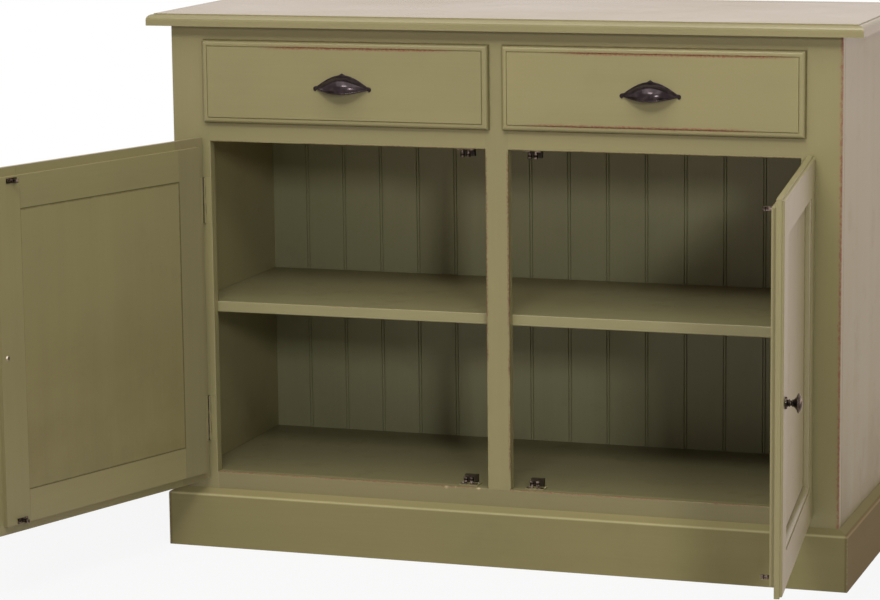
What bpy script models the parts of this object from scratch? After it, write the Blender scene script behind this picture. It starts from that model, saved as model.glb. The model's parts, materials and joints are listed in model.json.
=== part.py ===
"""A painted kitchen base cabinet: a face-framed case with two lipped drawers over two lipped, panelled doors.

Metres, +Z up. X runs along the front, the front looks towards -Y, and the origin is on the floor at the
middle of the case. The doors stand open and the drawers are shut.
"""

import math

import bmesh
import bpy
from mathutils import Matrix, Vector

# Case
CASE_WIDTH = 1.128
CASE_DEPTH = 0.428
HEIGHT = 0.900
SIDE_THICKNESS = 0.026
BOARD_THICKNESS = 0.018
HOUSING_DEPTH = 0.008
BOTTOM_TOP = 0.1275
SHELF_TOP = 0.416
SERVICE_VOID = 0.036
FIT = 0.0003
EASE = 0.0012

# Top board
TOP_THICKNESS = 0.020
TOP_SIDE_OVERHANG = 0.036
TOP_FRONT_OVERHANG = 0.022
TOP_ROUND = 0.009
TOP_STEP = 0.0015

# Face frame
FRAME_THICKNESS = 0.018
STILE_WIDTH = 0.0655
CENTRE_STILE_WIDTH = 0.039
TOP_RAIL_HEIGHT = 0.031
MIDDLE_RAIL_HEIGHT = 0.040
BOTTOM_RAIL_HEIGHT = 0.0675
DRAWER_OPENING_HEIGHT = 0.121

# Back boards
BACK_THICKNESS = 0.012
BACK_FOOT = 0.060
BACK_BOARD_PITCH = 0.0691
BACK_BOARD_SHIFT = 0.010
BEAD_WIDTH = 0.0045
BEAD_GROOVE = 0.0018

# Plinth
PLINTH_THICKNESS = 0.018
PLINTH_HEIGHT = 0.0985
PLINTH_SLOPE = 0.010
PLINTH_NOSE = 0.004
PLINTH_NOSE_TURN = math.radians(60.0)
BEARER_WIDTH = 0.044

# Drawers
DRAWER_OVERLAP = 0.0073
DRAWER_CLEARANCE = 0.0015
DRAWER_HEAD_ROOM = 0.011
DRAWER_BACK_ROOM = 0.027
DRAWER_SIDE = 0.012
DRAWER_BOTTOM = 0.006
DRAWER_BOTTOM_RISE = 0.008
DRAWER_GROOVE = 0.005
DRAWER_EDGE = 0.005
DRAWER_ROUND = 0.005
DRAWER_LAND = 0.0030
DRAWER_QUIRK_DEPTH = 0.0015
DRAWER_QUIRK_WIDTH = 0.0008
DRAWER_QUIRK_SLOPE = 0.0004
DRAWER_FIELD_RISE = 0.0010
GUIDE_HEIGHT = 0.012
GUIDE_GAP = 0.002

# Doors
LIP_SEAT = 0.0006
CORE_THICKNESS = 0.008
DOOR_OVERLAP = 0.0098
DOOR_CORE_GAP = 0.0045
DOOR_DROP = 0.0035
DOOR_EDGE = 0.0080
DOOR_LEDGE = 0.0025
DOOR_BEAD = 0.0030
DOOR_BEAD_ROUND = 0.0010
DOOR_MEMBER = 0.066
STICKING_STEP = 0.0015
STICKING_ROUND = 0.008
PANEL_TONGUE = 0.005
PANEL_TONGUE_REACH = 0.008
PANEL_BACK_STEP = 0.003
PANEL_FRONT_STEP = 0.002
LEFT_DOOR_OPEN = math.radians(109.0)
RIGHT_DOOR_OPEN = math.radians(97.0)

# Hinges
HINGE_LENGTH = 0.076
HINGE_SETBACK = 0.067
HINGE_LEAF = 0.0015
HINGE_LEAF_WIDTH = 0.0095
KNUCKLE_RADIUS = 0.0032
KNUCKLE_STANDOFF = 0.0020
KNUCKLES = 5
PIN_RADIUS = 0.0015

# Catches and strikes
CATCH_FROM_STILE = 0.0375
CATCH_WIDTH = 0.032
CATCH_DEPTH = 0.026
CATCH_CLEARANCE = 0.001
CATCH_PLATE = 0.0016
CATCH_HOUSING_WIDTH = 0.022
CATCH_HOUSING_DEPTH = 0.008
CATCH_HOUSING_HEIGHT = 0.015
ROLLER_RADIUS = 0.0035
ROLLER_HEIGHT = 0.009
ROLLER_PIN_RADIUS = 0.0018
ROLLER_GAP = 0.003
ROLLER_MIDDLE = 0.010
ARM_LENGTH = 0.0095
ARM_WIDTH = 0.006
ARM_THICKNESS = 0.0013
STRIKE_PLATE = 0.0015
STRIKE_PLATE_WIDTH = 0.022
STRIKE_PLATE_HEIGHT = 0.008
STRIKE_HEIGHT = 0.006
STRIKE_NECK = 0.009
STRIKE_NECK_THICKNESS = 0.002
STRIKE_HEAD = 0.005
STRIKE_HEAD_THICKNESS = 0.005
STRIKE_BARB = 0.00125
STRIKE_TIP_THICKNESS = 0.001

# Knobs
KNOB_FROM_EDGE = 0.028
KNOB_DROP = 0.0075
KNOB_RADIUS = 0.0145
KNOB_PROJECTION = 0.0245
KNOB_RIM = 0.0075
KNOB_NECK_RADIUS = 0.0045
KNOB_NECK_LENGTH = 0.0105
KNOB_FOOT_RADIUS = 0.0090
KNOB_FOOT_HEIGHT = 0.0030
KNOB_FOOT_SLOPE = 0.0020

# Cup pulls
PULL_CUP_WIDTH = 0.092
PULL_CROWN = 0.0205
PULL_CUP_DEPTH = 0.023
PULL_MOUTH = 0.006
PULL_WALL = 0.0016
PULL_RIM = 0.0025
PULL_RIM_REACH = 0.94
PULL_EAR = 0.004
PULL_PEAK = 0.0028
PULL_PEAK_WIDTH = 0.011
PULL_DROP = 0.0072

# Counts of segments
ROUND_SEGMENTS = 5
PIN_SEGMENTS = 20
KNOB_SEGMENTS = 24
DOME_SEGMENTS = 8
PULL_SEGMENTS = 32
RIM_POINTS = 48
EAR_POINTS = 8
EASE_SEGMENTS = 2

# Mesh making
MERGE_DISTANCE = 0.00001
AXIS_MERGE_DISTANCE = 0.00005
SHARP_ANGLE = math.radians(35)

LEFT, RIGHT = -1, 1
SIDE_NAMES = {LEFT: "left", RIGHT: "right"}

FRONT = -CASE_DEPTH / 2
BACK = CASE_DEPTH / 2
CASE_SIDE = CASE_WIDTH / 2
INNER_SIDE = CASE_SIDE - SIDE_THICKNESS
CASE_TOP = HEIGHT - TOP_THICKNESS
FRAME_BACK = FRONT + FRAME_THICKNESS
BACK_FACE = BACK - SERVICE_VOID - BACK_THICKNESS
OPENING_OUT = CASE_SIDE - STILE_WIDTH
OPENING_IN = CENTRE_STILE_WIDTH / 2
DRAWER_TOP = CASE_TOP - TOP_RAIL_HEIGHT
DRAWER_FLOOR = DRAWER_TOP - DRAWER_OPENING_HEIGHT
DOOR_HEAD = DRAWER_FLOOR - MIDDLE_RAIL_HEIGHT
LIP_BACK = FRONT - LIP_SEAT
CORE_BACK = LIP_BACK + CORE_THICKNESS
DOOR_LIP_THICKNESS = DOOR_EDGE + DOOR_BEAD + DOOR_BEAD_ROUND
DOOR_WIDTH = OPENING_OUT - OPENING_IN + 2 * DOOR_OVERLAP
DOOR_HEIGHT = DOOR_HEAD - BOTTOM_TOP + 2 * DOOR_OVERLAP
DOOR_MIDDLE_X = (OPENING_OUT + OPENING_IN) / 2
DOOR_MIDDLE_Z = (DOOR_HEAD + BOTTOM_TOP) / 2 - DOOR_DROP
HINGE_X = OPENING_OUT + DOOR_OVERLAP + FIT + KNUCKLE_RADIUS
HINGE_Y = FRONT - KNUCKLE_STANDOFF
CATCH_X = OPENING_IN + CATCH_FROM_STILE
ROLLER_Y = CORE_BACK + STRIKE_PLATE + STRIKE_NECK / 2

# Spans of the boards that are housed in the side panels
HOUSED_X = (-INNER_SIDE - HOUSING_DEPTH, INNER_SIDE + HOUSING_DEPTH)
INSIDE_Y = (FRAME_BACK + FIT, BACK_FACE - FIT)
BOTTOM_SPANS = (HOUSED_X, INSIDE_Y, (BOTTOM_TOP - BOARD_THICKNESS, BOTTOM_TOP))
SHELF_SPANS = (HOUSED_X, INSIDE_Y, (SHELF_TOP - BOARD_THICKNESS, SHELF_TOP))
DECK_SPANS = (HOUSED_X, INSIDE_Y, (DRAWER_FLOOR - BOARD_THICKNESS, DRAWER_FLOOR))
BACK_SPANS = (HOUSED_X, (BACK_FACE, BACK_FACE + BACK_THICKNESS), (BACK_FOOT, CASE_TOP - FIT))

# Name, colour, roughness and metallic value of each material
PAINT = ("olive_paint", (0.287, 0.253, 0.122), 0.42, 0.0)
DARK_PAINT = ("olive_paint_inside", (0.180, 0.160, 0.085), 0.55, 0.0)
BARE_WOOD = ("drawer_wood", (0.520, 0.380, 0.220), 0.60, 0.0)
BRONZE = ("dark_bronze", (0.035, 0.028, 0.022), 0.35, 0.9)
STEEL = ("catch_steel", (0.100, 0.095, 0.085), 0.40, 0.9)
ROLLER_METAL = ("roller_metal", (0.560, 0.550, 0.520), 0.30, 0.9)


def clear_scene():
    for obj in list(bpy.data.objects):
        bpy.data.objects.remove(obj, do_unlink=True)


def new_collection(name):
    made = bpy.data.collections.new(name)
    bpy.context.scene.collection.children.link(made)
    return made


clear_scene()
PARTS = new_collection("kitchen_base_cabinet")
CUTTERS = new_collection("cutters")


def material(name, colour, roughness, metallic):
    made = bpy.data.materials.get(name)
    if made is None:
        made = bpy.data.materials.new(name)
        made.use_nodes = True
        shader = made.node_tree.nodes["Principled BSDF"]
        shader.inputs["Base Color"].default_value = (*colour, 1.0)
        shader.inputs["Roughness"].default_value = roughness
        shader.inputs["Metallic"].default_value = metallic
    return made


def place_on(obj, place, pivot):
    """Puts an object at a place in the world, hung on a pivot if there is one. Pivots turn last."""
    obj.location = place
    if pivot is not None:
        obj.parent = pivot
        obj.location = Vector(place) - pivot.location


def add(name, mesh, finish, place, pivot=None):
    obj = bpy.data.objects.new(name, mesh)
    PARTS.objects.link(obj)
    if not mesh.materials:
        mesh.materials.append(material(*finish))
    place_on(obj, place, pivot)
    return obj


def helper(mesh, place, pivot=None):
    """A hidden shape that only cuts or joins other pieces."""
    obj = bpy.data.objects.new(mesh.name, mesh)
    CUTTERS.objects.link(obj)
    obj.hide_render = True
    obj.display_type = "WIRE"
    place_on(obj, place, pivot)
    return obj


def empty(name, place):
    obj = bpy.data.objects.new(name, None)
    PARTS.objects.link(obj)
    obj.location = place
    return obj


def boolean(obj, other, operation):
    modifier = obj.modifiers.new(operation.lower(), "BOOLEAN")
    modifier.operation = operation
    modifier.object = other


def smooth(obj):
    obj.data.shade_smooth()
    obj.data.set_sharp_from_angle(angle=SHARP_ANGLE)


def mesh_from(name, bm):
    mesh = bpy.data.meshes.new(name)
    bmesh.ops.recalc_face_normals(bm, faces=bm.faces[:])
    bm.to_mesh(mesh)
    bm.free()
    return mesh


def evaluated_mesh(obj):
    """The object's mesh with its modifiers applied; the object itself is removed."""
    bpy.context.view_layer.update()
    graph = bpy.context.evaluated_depsgraph_get()
    mesh = bpy.data.meshes.new_from_object(obj.evaluated_get(graph))
    bpy.data.objects.remove(obj, do_unlink=True)
    return mesh


def sided(side, near, far):
    """The span between two distances from the middle, on one side of it."""
    return tuple(sorted((side * near, side * far)))


def about(middle, size):
    return (middle - size / 2, middle + size / 2)


def block(x, y, z):
    """A box between low and high values on each axis, as a mesh about its own middle and that middle."""
    spans = (x, y, z)
    bm = bmesh.new()
    bmesh.ops.create_cube(bm, size=1.0)
    bmesh.ops.scale(bm, vec=[high - low for low, high in spans], verts=bm.verts[:])
    return mesh_from("block", bm), [(low + high) / 2 for low, high in spans]


def cylinder(radius, z):
    """An upright cylinder on the Z axis, as a mesh about its own middle and that middle."""
    bm = bmesh.new()
    height = z[1] - z[0]
    bmesh.ops.create_cone(
        bm, cap_ends=True, segments=PIN_SEGMENTS, radius1=radius, radius2=radius, depth=height
    )
    return mesh_from("cylinder", bm), (0, 0, (z[0] + z[1]) / 2)


def bell(x, half_width, height):
    """Height of a bell-shaped outline that ends in a point at each side."""
    return height * math.cos(math.pi / 2 * x / half_width)


def drawn_out_ball(half_width, depth, height):
    """A ball drawn out to a point at each end of X, so that its outline is a bell above and below."""
    bm = bmesh.new()
    bmesh.ops.create_uvsphere(bm, u_segments=PULL_SEGMENTS, v_segments=PULL_SEGMENTS // 2, radius=1.0)
    bmesh.ops.rotate(bm, matrix=Matrix.Rotation(math.pi / 2, 3, "Y"), verts=bm.verts[:])
    for vert in bm.verts:
        radius = math.hypot(vert.co.y, vert.co.z)
        if radius > MERGE_DISTANCE:
            drawn = bell(vert.co.x, 1.0, 1.0) / radius
            vert.co.y *= drawn
            vert.co.z *= drawn
    bmesh.ops.scale(bm, vec=(half_width, depth, height), verts=bm.verts[:])
    return mesh_from("drawn_out_ball", bm), (0, 0, 0)


def board(name, x, y, z, finish, ease=0.0, pivot=None):
    """A straight board between low and high values on each axis, its edges eased by a small bevel."""
    mesh, middle = block(x, y, z)
    obj = add(name, mesh, finish, middle, pivot)
    if ease:
        bevel = obj.modifiers.new("eased", "BEVEL")
        bevel.width = ease
        bevel.segments = EASE_SEGMENTS
    return obj


def cut_for(obj, x, y, z, gap=FIT, pivot=None):
    """Cuts room for a board of these spans, with a gap all round it."""
    room = [(low - gap, high + gap) for low, high in (x, y, z)]
    boolean(obj, helper(*block(*room), pivot), "DIFFERENCE")


def joined(name, shapes, cut=()):
    """One closed mesh from (mesh, place) shapes joined by Boolean unions, less some others."""
    base = helper(*shapes[0])
    start = Vector(shapes[0][1])
    others = [(helper(*shape), "UNION") for shape in shapes[1:]]
    others += [(helper(*shape), "DIFFERENCE") for shape in cut]
    for other, operation in others:
        boolean(base, other, operation)
    mesh = evaluated_mesh(base)
    for other, _ in others:
        bpy.data.objects.remove(other, do_unlink=True)
    mesh.name = name
    mesh.transform(Matrix.Translation(start))
    return mesh


def outline_mesh(name, points, thickness):
    """A flat outline in XY given a thickness along Z, as a closed mesh."""
    curve = bpy.data.curves.new(name, "CURVE")
    curve.dimensions = "2D"
    curve.fill_mode = "BOTH"
    curve.extrude = thickness / 2
    spline = curve.splines.new("POLY")
    spline.points.add(len(points) - 1)
    for target, (x, y) in zip(spline.points, points):
        target.co = (x, y, 0, 1)
    spline.use_cyclic_u = True
    drawn = bpy.data.objects.new(name, curve)
    CUTTERS.objects.link(drawn)
    bm = bmesh.new()
    bm.from_mesh(evaluated_mesh(drawn))
    bmesh.ops.remove_doubles(bm, verts=bm.verts[:], dist=MERGE_DISTANCE)
    return mesh_from(name, bm)


def step_face(bm, face, inset, rise):
    """Insets a face and lifts it; with no inset, its walls run straight up."""
    if inset > 0:
        bmesh.ops.inset_individual(bm, faces=[face], thickness=inset, depth=rise, use_even_offset=True)
        return face
    made = bmesh.ops.extrude_discrete_faces(bm, faces=[face])["faces"][0]
    bmesh.ops.translate(bm, vec=made.normal * rise, verts=made.verts[:])
    return made


def steps_between(points):
    return [(b[0] - a[0], b[1] - a[1]) for a, b in zip(points, points[1:])]


def quarter_angles():
    return [math.pi / 2 * i / ROUND_SEGMENTS for i in range(ROUND_SEGMENTS + 1)]


def round_up(radius):
    """Steps of a quarter round that starts on a straight edge and ends on the face."""
    return steps_between([(radius * (1 - math.cos(a)), radius * math.sin(a)) for a in quarter_angles()])


def round_down(radius):
    """Steps of a quarter round that rolls from the face down into a sunk panel."""
    return steps_between([(radius * math.sin(a), radius * (math.cos(a) - 1)) for a in quarter_angles()])


def moulded(width, length, base, face_steps, back_steps=()):
    """A slab lying on z = 0, with its upper face moulded by steps and its lower face by others."""
    bm = bmesh.new()
    bmesh.ops.create_cube(bm, size=1.0)
    bmesh.ops.scale(bm, vec=(width, length, base), verts=bm.verts[:])
    bmesh.ops.translate(bm, vec=(0, 0, base / 2), verts=bm.verts[:])
    bm.normal_update()
    upper = max(bm.faces, key=lambda face: face.normal.z)
    lower = min(bm.faces, key=lambda face: face.normal.z)
    for inset, rise in face_steps:
        upper = step_face(bm, upper, inset, rise)
    for inset, rise in back_steps:
        lower = step_face(bm, lower, inset, rise)
    return bm


def cut_square(bm, y):
    """Cuts off what lies behind a plane across Y, and closes the cut."""
    shape = bm.verts[:] + bm.edges[:] + bm.faces[:]
    bmesh.ops.bisect_plane(bm, geom=shape, plane_co=(0, y, 0), plane_no=(0, 1, 0), clear_outer=True)
    bmesh.ops.holes_fill(bm, edges=[edge for edge in bm.edges if edge.is_boundary])


def stood_up(bm):
    """Turns a slab so that its moulded face looks towards -Y and its length runs up."""
    bmesh.ops.rotate(bm, matrix=Matrix.Rotation(math.pi / 2, 3, "X"), verts=bm.verts[:])
    return bm


def top_board():
    """A board with a stepped quarter round on its front and ends, and a square back edge."""
    edge = TOP_THICKNESS - TOP_ROUND - TOP_STEP - FIT
    steps = round_up(TOP_ROUND) + [(TOP_STEP, 0.0), (0.0, TOP_STEP)]
    front = FRONT - TOP_FRONT_OVERHANG
    rear = BACK + TOP_ROUND + 2 * TOP_STEP
    bm = moulded(CASE_WIDTH + 2 * TOP_SIDE_OVERHANG, rear - front, edge, steps)
    bmesh.ops.translate(bm, vec=(0, (front + rear) / 2, CASE_TOP + FIT), verts=bm.verts[:])
    # The moulding runs round the back too, so the board is made deeper and cut off square.
    cut_square(bm, BACK)
    add("top_board", mesh_from("top_board", bm), PAINT, (0, 0, 0))


def side_panels():
    for side, name in SIDE_NAMES.items():
        x = sided(side, INNER_SIDE, CASE_SIDE)
        panel = board(f"side_panel_{name}", x, (FRAME_BACK + FIT, BACK), (0, CASE_TOP), PAINT)
        for spans in (BOTTOM_SPANS, SHELF_SPANS, DECK_SPANS, BACK_SPANS):
            cut_for(panel, *spans)


def hinge_spans():
    """Each hinge's name and its span in height."""
    reach = DOOR_HEIGHT / 2 - HINGE_SETBACK - HINGE_LENGTH / 2
    return {
        "upper": about(DOOR_MIDDLE_Z + reach, HINGE_LENGTH),
        "lower": about(DOOR_MIDDLE_Z - reach, HINGE_LENGTH),
    }


def face_frame():
    depth = (FRONT, FRAME_BACK)
    for side, name in SIDE_NAMES.items():
        x = sided(side, OPENING_OUT, CASE_SIDE)
        stile = board(f"frame_stile_{name}", x, depth, (0, CASE_TOP), PAINT, EASE)
        sunk = max(HINGE_LEAF, KNUCKLE_RADIUS - KNUCKLE_STANDOFF)
        for tall in hinge_spans().values():
            recess_x = sided(side, OPENING_OUT - EASE, HINGE_X + KNUCKLE_RADIUS)
            cut_for(stile, recess_x, (FRONT - EASE, FRONT + sunk), tall)
    across = (-OPENING_OUT + FIT, OPENING_OUT - FIT)
    board("frame_rail_top", across, depth, (DRAWER_TOP, CASE_TOP), PAINT, EASE)
    board("frame_rail_bottom", across, depth, (BOTTOM_TOP - BOTTOM_RAIL_HEIGHT, BOTTOM_TOP), PAINT, EASE)
    # The middle rail and the centre stile halve over each other.
    half = FRONT + FRAME_THICKNESS / 2
    crossing_z = (DOOR_HEAD, DRAWER_FLOOR)
    crossing_x = (-OPENING_IN, OPENING_IN)
    rail = board("frame_rail_middle", across, depth, crossing_z, PAINT, EASE)
    cut_for(rail, crossing_x, (FRONT - EASE, half), (DOOR_HEAD - EASE, DRAWER_FLOOR + EASE))
    upright = (BOTTOM_TOP + FIT, DRAWER_TOP - FIT)
    stile = board("frame_stile_centre", crossing_x, depth, upright, PAINT, EASE)
    cut_for(stile, (-OPENING_IN - EASE, OPENING_IN + EASE), (half, FRAME_BACK + EASE), crossing_z)


def case_boards():
    board("bottom_board", *BOTTOM_SPANS, PAINT)
    board("shelf", *SHELF_SPANS, PAINT, EASE)
    divider = OPENING_IN + DRAWER_CLEARANCE - GUIDE_GAP
    board("drawer_divider", (-divider, divider), INSIDE_Y, (DRAWER_FLOOR + FIT, CASE_TOP), BARE_WOOD)
    board("plinth_bearer", about(0, BEARER_WIDTH), INSIDE_Y, (0, BOTTOM_SPANS[2][0] - FIT), BARE_WOOD)


def drawer_deck():
    """The board that the drawers run on, with a glued guide strip beside each outer drawer side."""
    shapes = [block(*DECK_SPANS)]
    guide_face = OPENING_OUT - DRAWER_CLEARANCE + GUIDE_GAP
    glued = DRAWER_FLOOR - BOARD_THICKNESS / 2
    for side in (LEFT, RIGHT):
        x = sided(side, guide_face, INNER_SIDE - FIT)
        shapes.append(block(x, INSIDE_Y, (glued, DRAWER_FLOOR + GUIDE_HEIGHT)))
    add("drawer_deck", joined("drawer_deck", shapes), BARE_WOOD, (0, 0, 0))


def back_boards():
    """Beaded boards: each joint shows as two fine grooves with a bead between them."""
    (left, right), (face, rear), (foot, head) = BACK_SPANS
    first = math.ceil((-INNER_SIDE - BACK_BOARD_SHIFT) / BACK_BOARD_PITCH)
    last = math.floor((INNER_SIDE - BACK_BOARD_SHIFT) / BACK_BOARD_PITCH)
    outline = [(left, rear), (left, face)]
    for joint in range(first, last + 1):
        middle = BACK_BOARD_SHIFT + joint * BACK_BOARD_PITCH
        for groove in about(middle, BEAD_WIDTH):
            outline.append((groove - BEAD_GROOVE / 2, face))
            outline.append((groove, face + BEAD_GROOVE))
            outline.append((groove + BEAD_GROOVE / 2, face))
    outline += [(right, face), (right, rear)]
    mesh = outline_mesh("back_boards", outline, head - foot)
    add("back_boards", mesh, DARK_PAINT, (0, 0, (foot + head) / 2))


def plinth_frame():
    """A mitred frame round the front and sides, with a round nose and a slope up to the case."""
    front = FRONT - PLINTH_THICKNESS
    rear = BACK + 2 * PLINTH_THICKNESS
    width = CASE_WIDTH + 2 * PLINTH_THICKNESS
    turns = [PLINTH_NOSE_TURN * i / ROUND_SEGMENTS for i in range(ROUND_SEGMENTS + 1)]
    nose = [(PLINTH_NOSE * (1 - math.cos(turn)), PLINTH_NOSE * math.sin(turn)) for turn in turns]
    steps = steps_between(nose + [(PLINTH_THICKNESS, PLINTH_SLOPE)])
    bm = moulded(width, rear - front, PLINTH_HEIGHT - PLINTH_SLOPE, steps)
    bmesh.ops.translate(bm, vec=(0, (front + rear) / 2, 0), verts=bm.verts[:])
    cut_square(bm, BACK)
    plinth = add("plinth_frame", mesh_from("plinth_frame", bm), PAINT, (0, 0, 0))
    # The case stands in the frame, which ends level with its back.
    cut_for(plinth, (-CASE_SIDE, CASE_SIDE), (FRONT, rear), (-PLINTH_HEIGHT, 2 * PLINTH_HEIGHT))


def pull_rim_outline():
    """Outline of a pull's flat rim: a bell with a peak, round ears, and the inside of the cup below it."""
    half = PULL_CUP_WIDTH / 2
    turns = [math.pi * i / EAR_POINTS - math.pi / 2 for i in range(EAR_POINTS + 1)]
    right_ear = [(half + PULL_EAR * math.cos(turn), PULL_EAR * math.sin(turn)) for turn in turns]
    left_ear = [(-x, z) for x, z in reversed(right_ear)]
    shares = [PULL_RIM_REACH * (1 - 2 * i / RIM_POINTS) for i in range(RIM_POINTS + 1)]
    arch = []
    for share in shares:
        x = half * share
        peak = PULL_PEAK * max(0.0, 1 - abs(x) / (PULL_PEAK_WIDTH / 2))
        arch.append((x, bell(x, half, PULL_CROWN) + PULL_RIM + peak))
    inner_half = half - PULL_WALL
    inside = [(inner_half * share, bell(share, 1.0, PULL_CROWN - PULL_WALL)) for share in reversed(shares)]
    return right_ear + arch + left_ear + inside


def cup_pull_mesh():
    """A cup that is open below and behind, on a flat rim; its ears are level with z = 0."""
    rim = outline_mesh("rim", pull_rim_outline(), PULL_WALL)
    rim.transform(Matrix.Rotation(math.pi / 2, 4, "X"))
    outside = (PULL_CUP_WIDTH / 2, PULL_CUP_DEPTH, PULL_CROWN)
    beyond = (-PULL_CUP_WIDTH, PULL_CUP_WIDTH)
    cut = [
        drawn_out_ball(*[size - PULL_WALL for size in outside]),
        block(beyond, (0, PULL_CUP_WIDTH), beyond),
        block(beyond, beyond, (-PULL_CUP_WIDTH, -PULL_MOUTH)),
    ]
    return joined("cup_pull", [drawn_out_ball(*outside), (rim, (0, -PULL_WALL / 2, 0))], cut)


def drawer_front_mesh(name, width, height):
    """A lipped front: a rounded edge, a fine quirk and a raised field, with a core behind the lip."""
    face = round_up(DRAWER_ROUND) + [
        (DRAWER_LAND, 0.0),
        (DRAWER_QUIRK_SLOPE, -DRAWER_QUIRK_DEPTH),
        (DRAWER_QUIRK_WIDTH, 0.0),
        (DRAWER_QUIRK_SLOPE, DRAWER_QUIRK_DEPTH + DRAWER_FIELD_RISE),
    ]
    back = [(DRAWER_OVERLAP + DRAWER_CLEARANCE, 0.0), (0.0, CORE_THICKNESS)]
    return mesh_from(name, stood_up(moulded(width, height, DRAWER_EDGE, face, back)))


def drawer(side, pull_mesh):
    name = SIDE_NAMES[side]
    x = sided(side, OPENING_IN, OPENING_OUT)
    middle_x = (x[0] + x[1]) / 2
    middle_z = (DRAWER_FLOOR + DRAWER_TOP) / 2
    slide = empty(f"{name}_drawer_slide", (middle_x, FRONT, middle_z))
    width = OPENING_OUT - OPENING_IN + 2 * DRAWER_OVERLAP
    height = DRAWER_OPENING_HEIGHT + 2 * DRAWER_OVERLAP
    front_name = f"drawer_front_{name}"
    front_mesh = drawer_front_mesh(front_name, width, height)
    front = add(front_name, front_mesh, PAINT, (middle_x, LIP_BACK, middle_z), slide)

    box_x = (x[0] + DRAWER_CLEARANCE, x[1] - DRAWER_CLEARANCE)
    box_y = (CORE_BACK + FIT, BACK_FACE - DRAWER_BACK_ROOM)
    box_z = (DRAWER_FLOOR + FIT, DRAWER_TOP - DRAWER_HEAD_ROOM)
    box = board(f"drawer_box_{name}", box_x, box_y, box_z, BARE_WOOD, pivot=slide)
    inside_x = (box_x[0] + DRAWER_SIDE, box_x[1] - DRAWER_SIDE)
    inside_y = (box_y[0] - DRAWER_SIDE, box_y[1] - DRAWER_SIDE)
    inside_z = (box_z[0] - DRAWER_SIDE, box_z[1] + DRAWER_SIDE)
    cut_for(box, inside_x, inside_y, inside_z, gap=0.0, pivot=slide)

    panel_x = (inside_x[0] - DRAWER_GROOVE, inside_x[1] + DRAWER_GROOVE)
    panel_y = (CORE_BACK - DRAWER_GROOVE, inside_y[1] + DRAWER_GROOVE)
    panel_low = box_z[0] + DRAWER_BOTTOM_RISE
    panel = (panel_x, panel_y, (panel_low, panel_low + DRAWER_BOTTOM))
    cut_for(box, *panel, pivot=slide)
    cut_for(front, *panel, pivot=slide)
    board(f"drawer_bottom_{name}", *panel, BARE_WOOD, pivot=slide)

    field_y = LIP_BACK - DRAWER_EDGE - DRAWER_ROUND - DRAWER_FIELD_RISE
    pull_place = (middle_x, field_y - FIT, middle_z - PULL_DROP)
    smooth(add(f"cup_pull_{name}", pull_mesh, BRONZE, pull_place, slide))


def door_blank_mesh(name):
    """The whole door as one lump: lip, core behind it, and a front sunk where the panel goes."""
    flat = DOOR_MEMBER - DOOR_LEDGE - DOOR_BEAD_ROUND - STICKING_ROUND
    face = [
        (DOOR_LEDGE, 0.0),
        (0.0, DOOR_BEAD),
        (DOOR_BEAD_ROUND, DOOR_BEAD_ROUND),
        (flat, 0.0),
        (0.0, -STICKING_STEP),
    ]
    back = [(DOOR_OVERLAP + DOOR_CORE_GAP, 0.0), (0.0, CORE_THICKNESS)]
    bm = moulded(DOOR_WIDTH, DOOR_HEIGHT, DOOR_EDGE, face + round_down(STICKING_ROUND), back)
    return mesh_from(name, stood_up(bm))


def panel_mesh(name, grow):
    """The flat panel with its tongue all round, flush behind; grown, it cuts the groove that takes it."""
    rim = 2 * (PANEL_TONGUE_REACH + grow - DOOR_MEMBER)
    front = [(PANEL_TONGUE_REACH, 0.0), (0.0, PANEL_FRONT_STEP)]
    back = [(PANEL_TONGUE_REACH, 0.0), (0.0, PANEL_BACK_STEP)]
    bm = moulded(DOOR_WIDTH + rim, DOOR_HEIGHT + rim, PANEL_TONGUE + 2 * grow, front, back)
    bmesh.ops.translate(bm, vec=(0, 0, -grow), verts=bm.verts[:])
    return mesh_from(name, stood_up(bm))


def door_members(side, pivot):
    """Stiles that run through, rails between them, and the panel held in their grooves."""
    name = SIDE_NAMES[side]
    middle = (side * DOOR_MIDDLE_X, LIP_BACK, DOOR_MIDDLE_Z)
    panel_place = (middle[0], CORE_BACK - PANEL_BACK_STEP, middle[2])
    add(f"{name}_door_panel", panel_mesh(f"{name}_door_panel", 0.0), PAINT, panel_place, pivot)
    groove = helper(panel_mesh("panel_groove", FIT), panel_place, pivot)

    inner_x = DOOR_WIDTH / 2 - DOOR_MEMBER
    inner_z = DOOR_HEIGHT / 2 - DOOR_MEMBER
    beyond_x = DOOR_WIDTH / 2 + DOOR_MEMBER
    beyond_z = DOOR_HEIGHT / 2 + DOOR_MEMBER
    through = about(LIP_BACK, 2 * DOOR_MEMBER)
    seam = inner_x + FIT / 2
    between = (-inner_x + FIT / 2, inner_x - FIT / 2)
    members = {
        "stile_hinge": (sided(side, seam, beyond_x), (-beyond_z, beyond_z)),
        "stile_free": (sided(-side, seam, beyond_x), (-beyond_z, beyond_z)),
        "rail_top": (between, (inner_z, beyond_z)),
        "rail_bottom": (between, (-beyond_z, -inner_z)),
    }
    made = {}
    for member, (across, upright) in members.items():
        node = f"{name}_door_{member}"
        obj = add(node, door_blank_mesh(node), PAINT, middle, pivot)
        across = [middle[0] + value for value in across]
        upright = [middle[2] + value for value in upright]
        boolean(obj, helper(*block(across, through, upright), pivot), "INTERSECT")
        boolean(obj, groove, "DIFFERENCE")
        made[member] = obj
    return made


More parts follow.
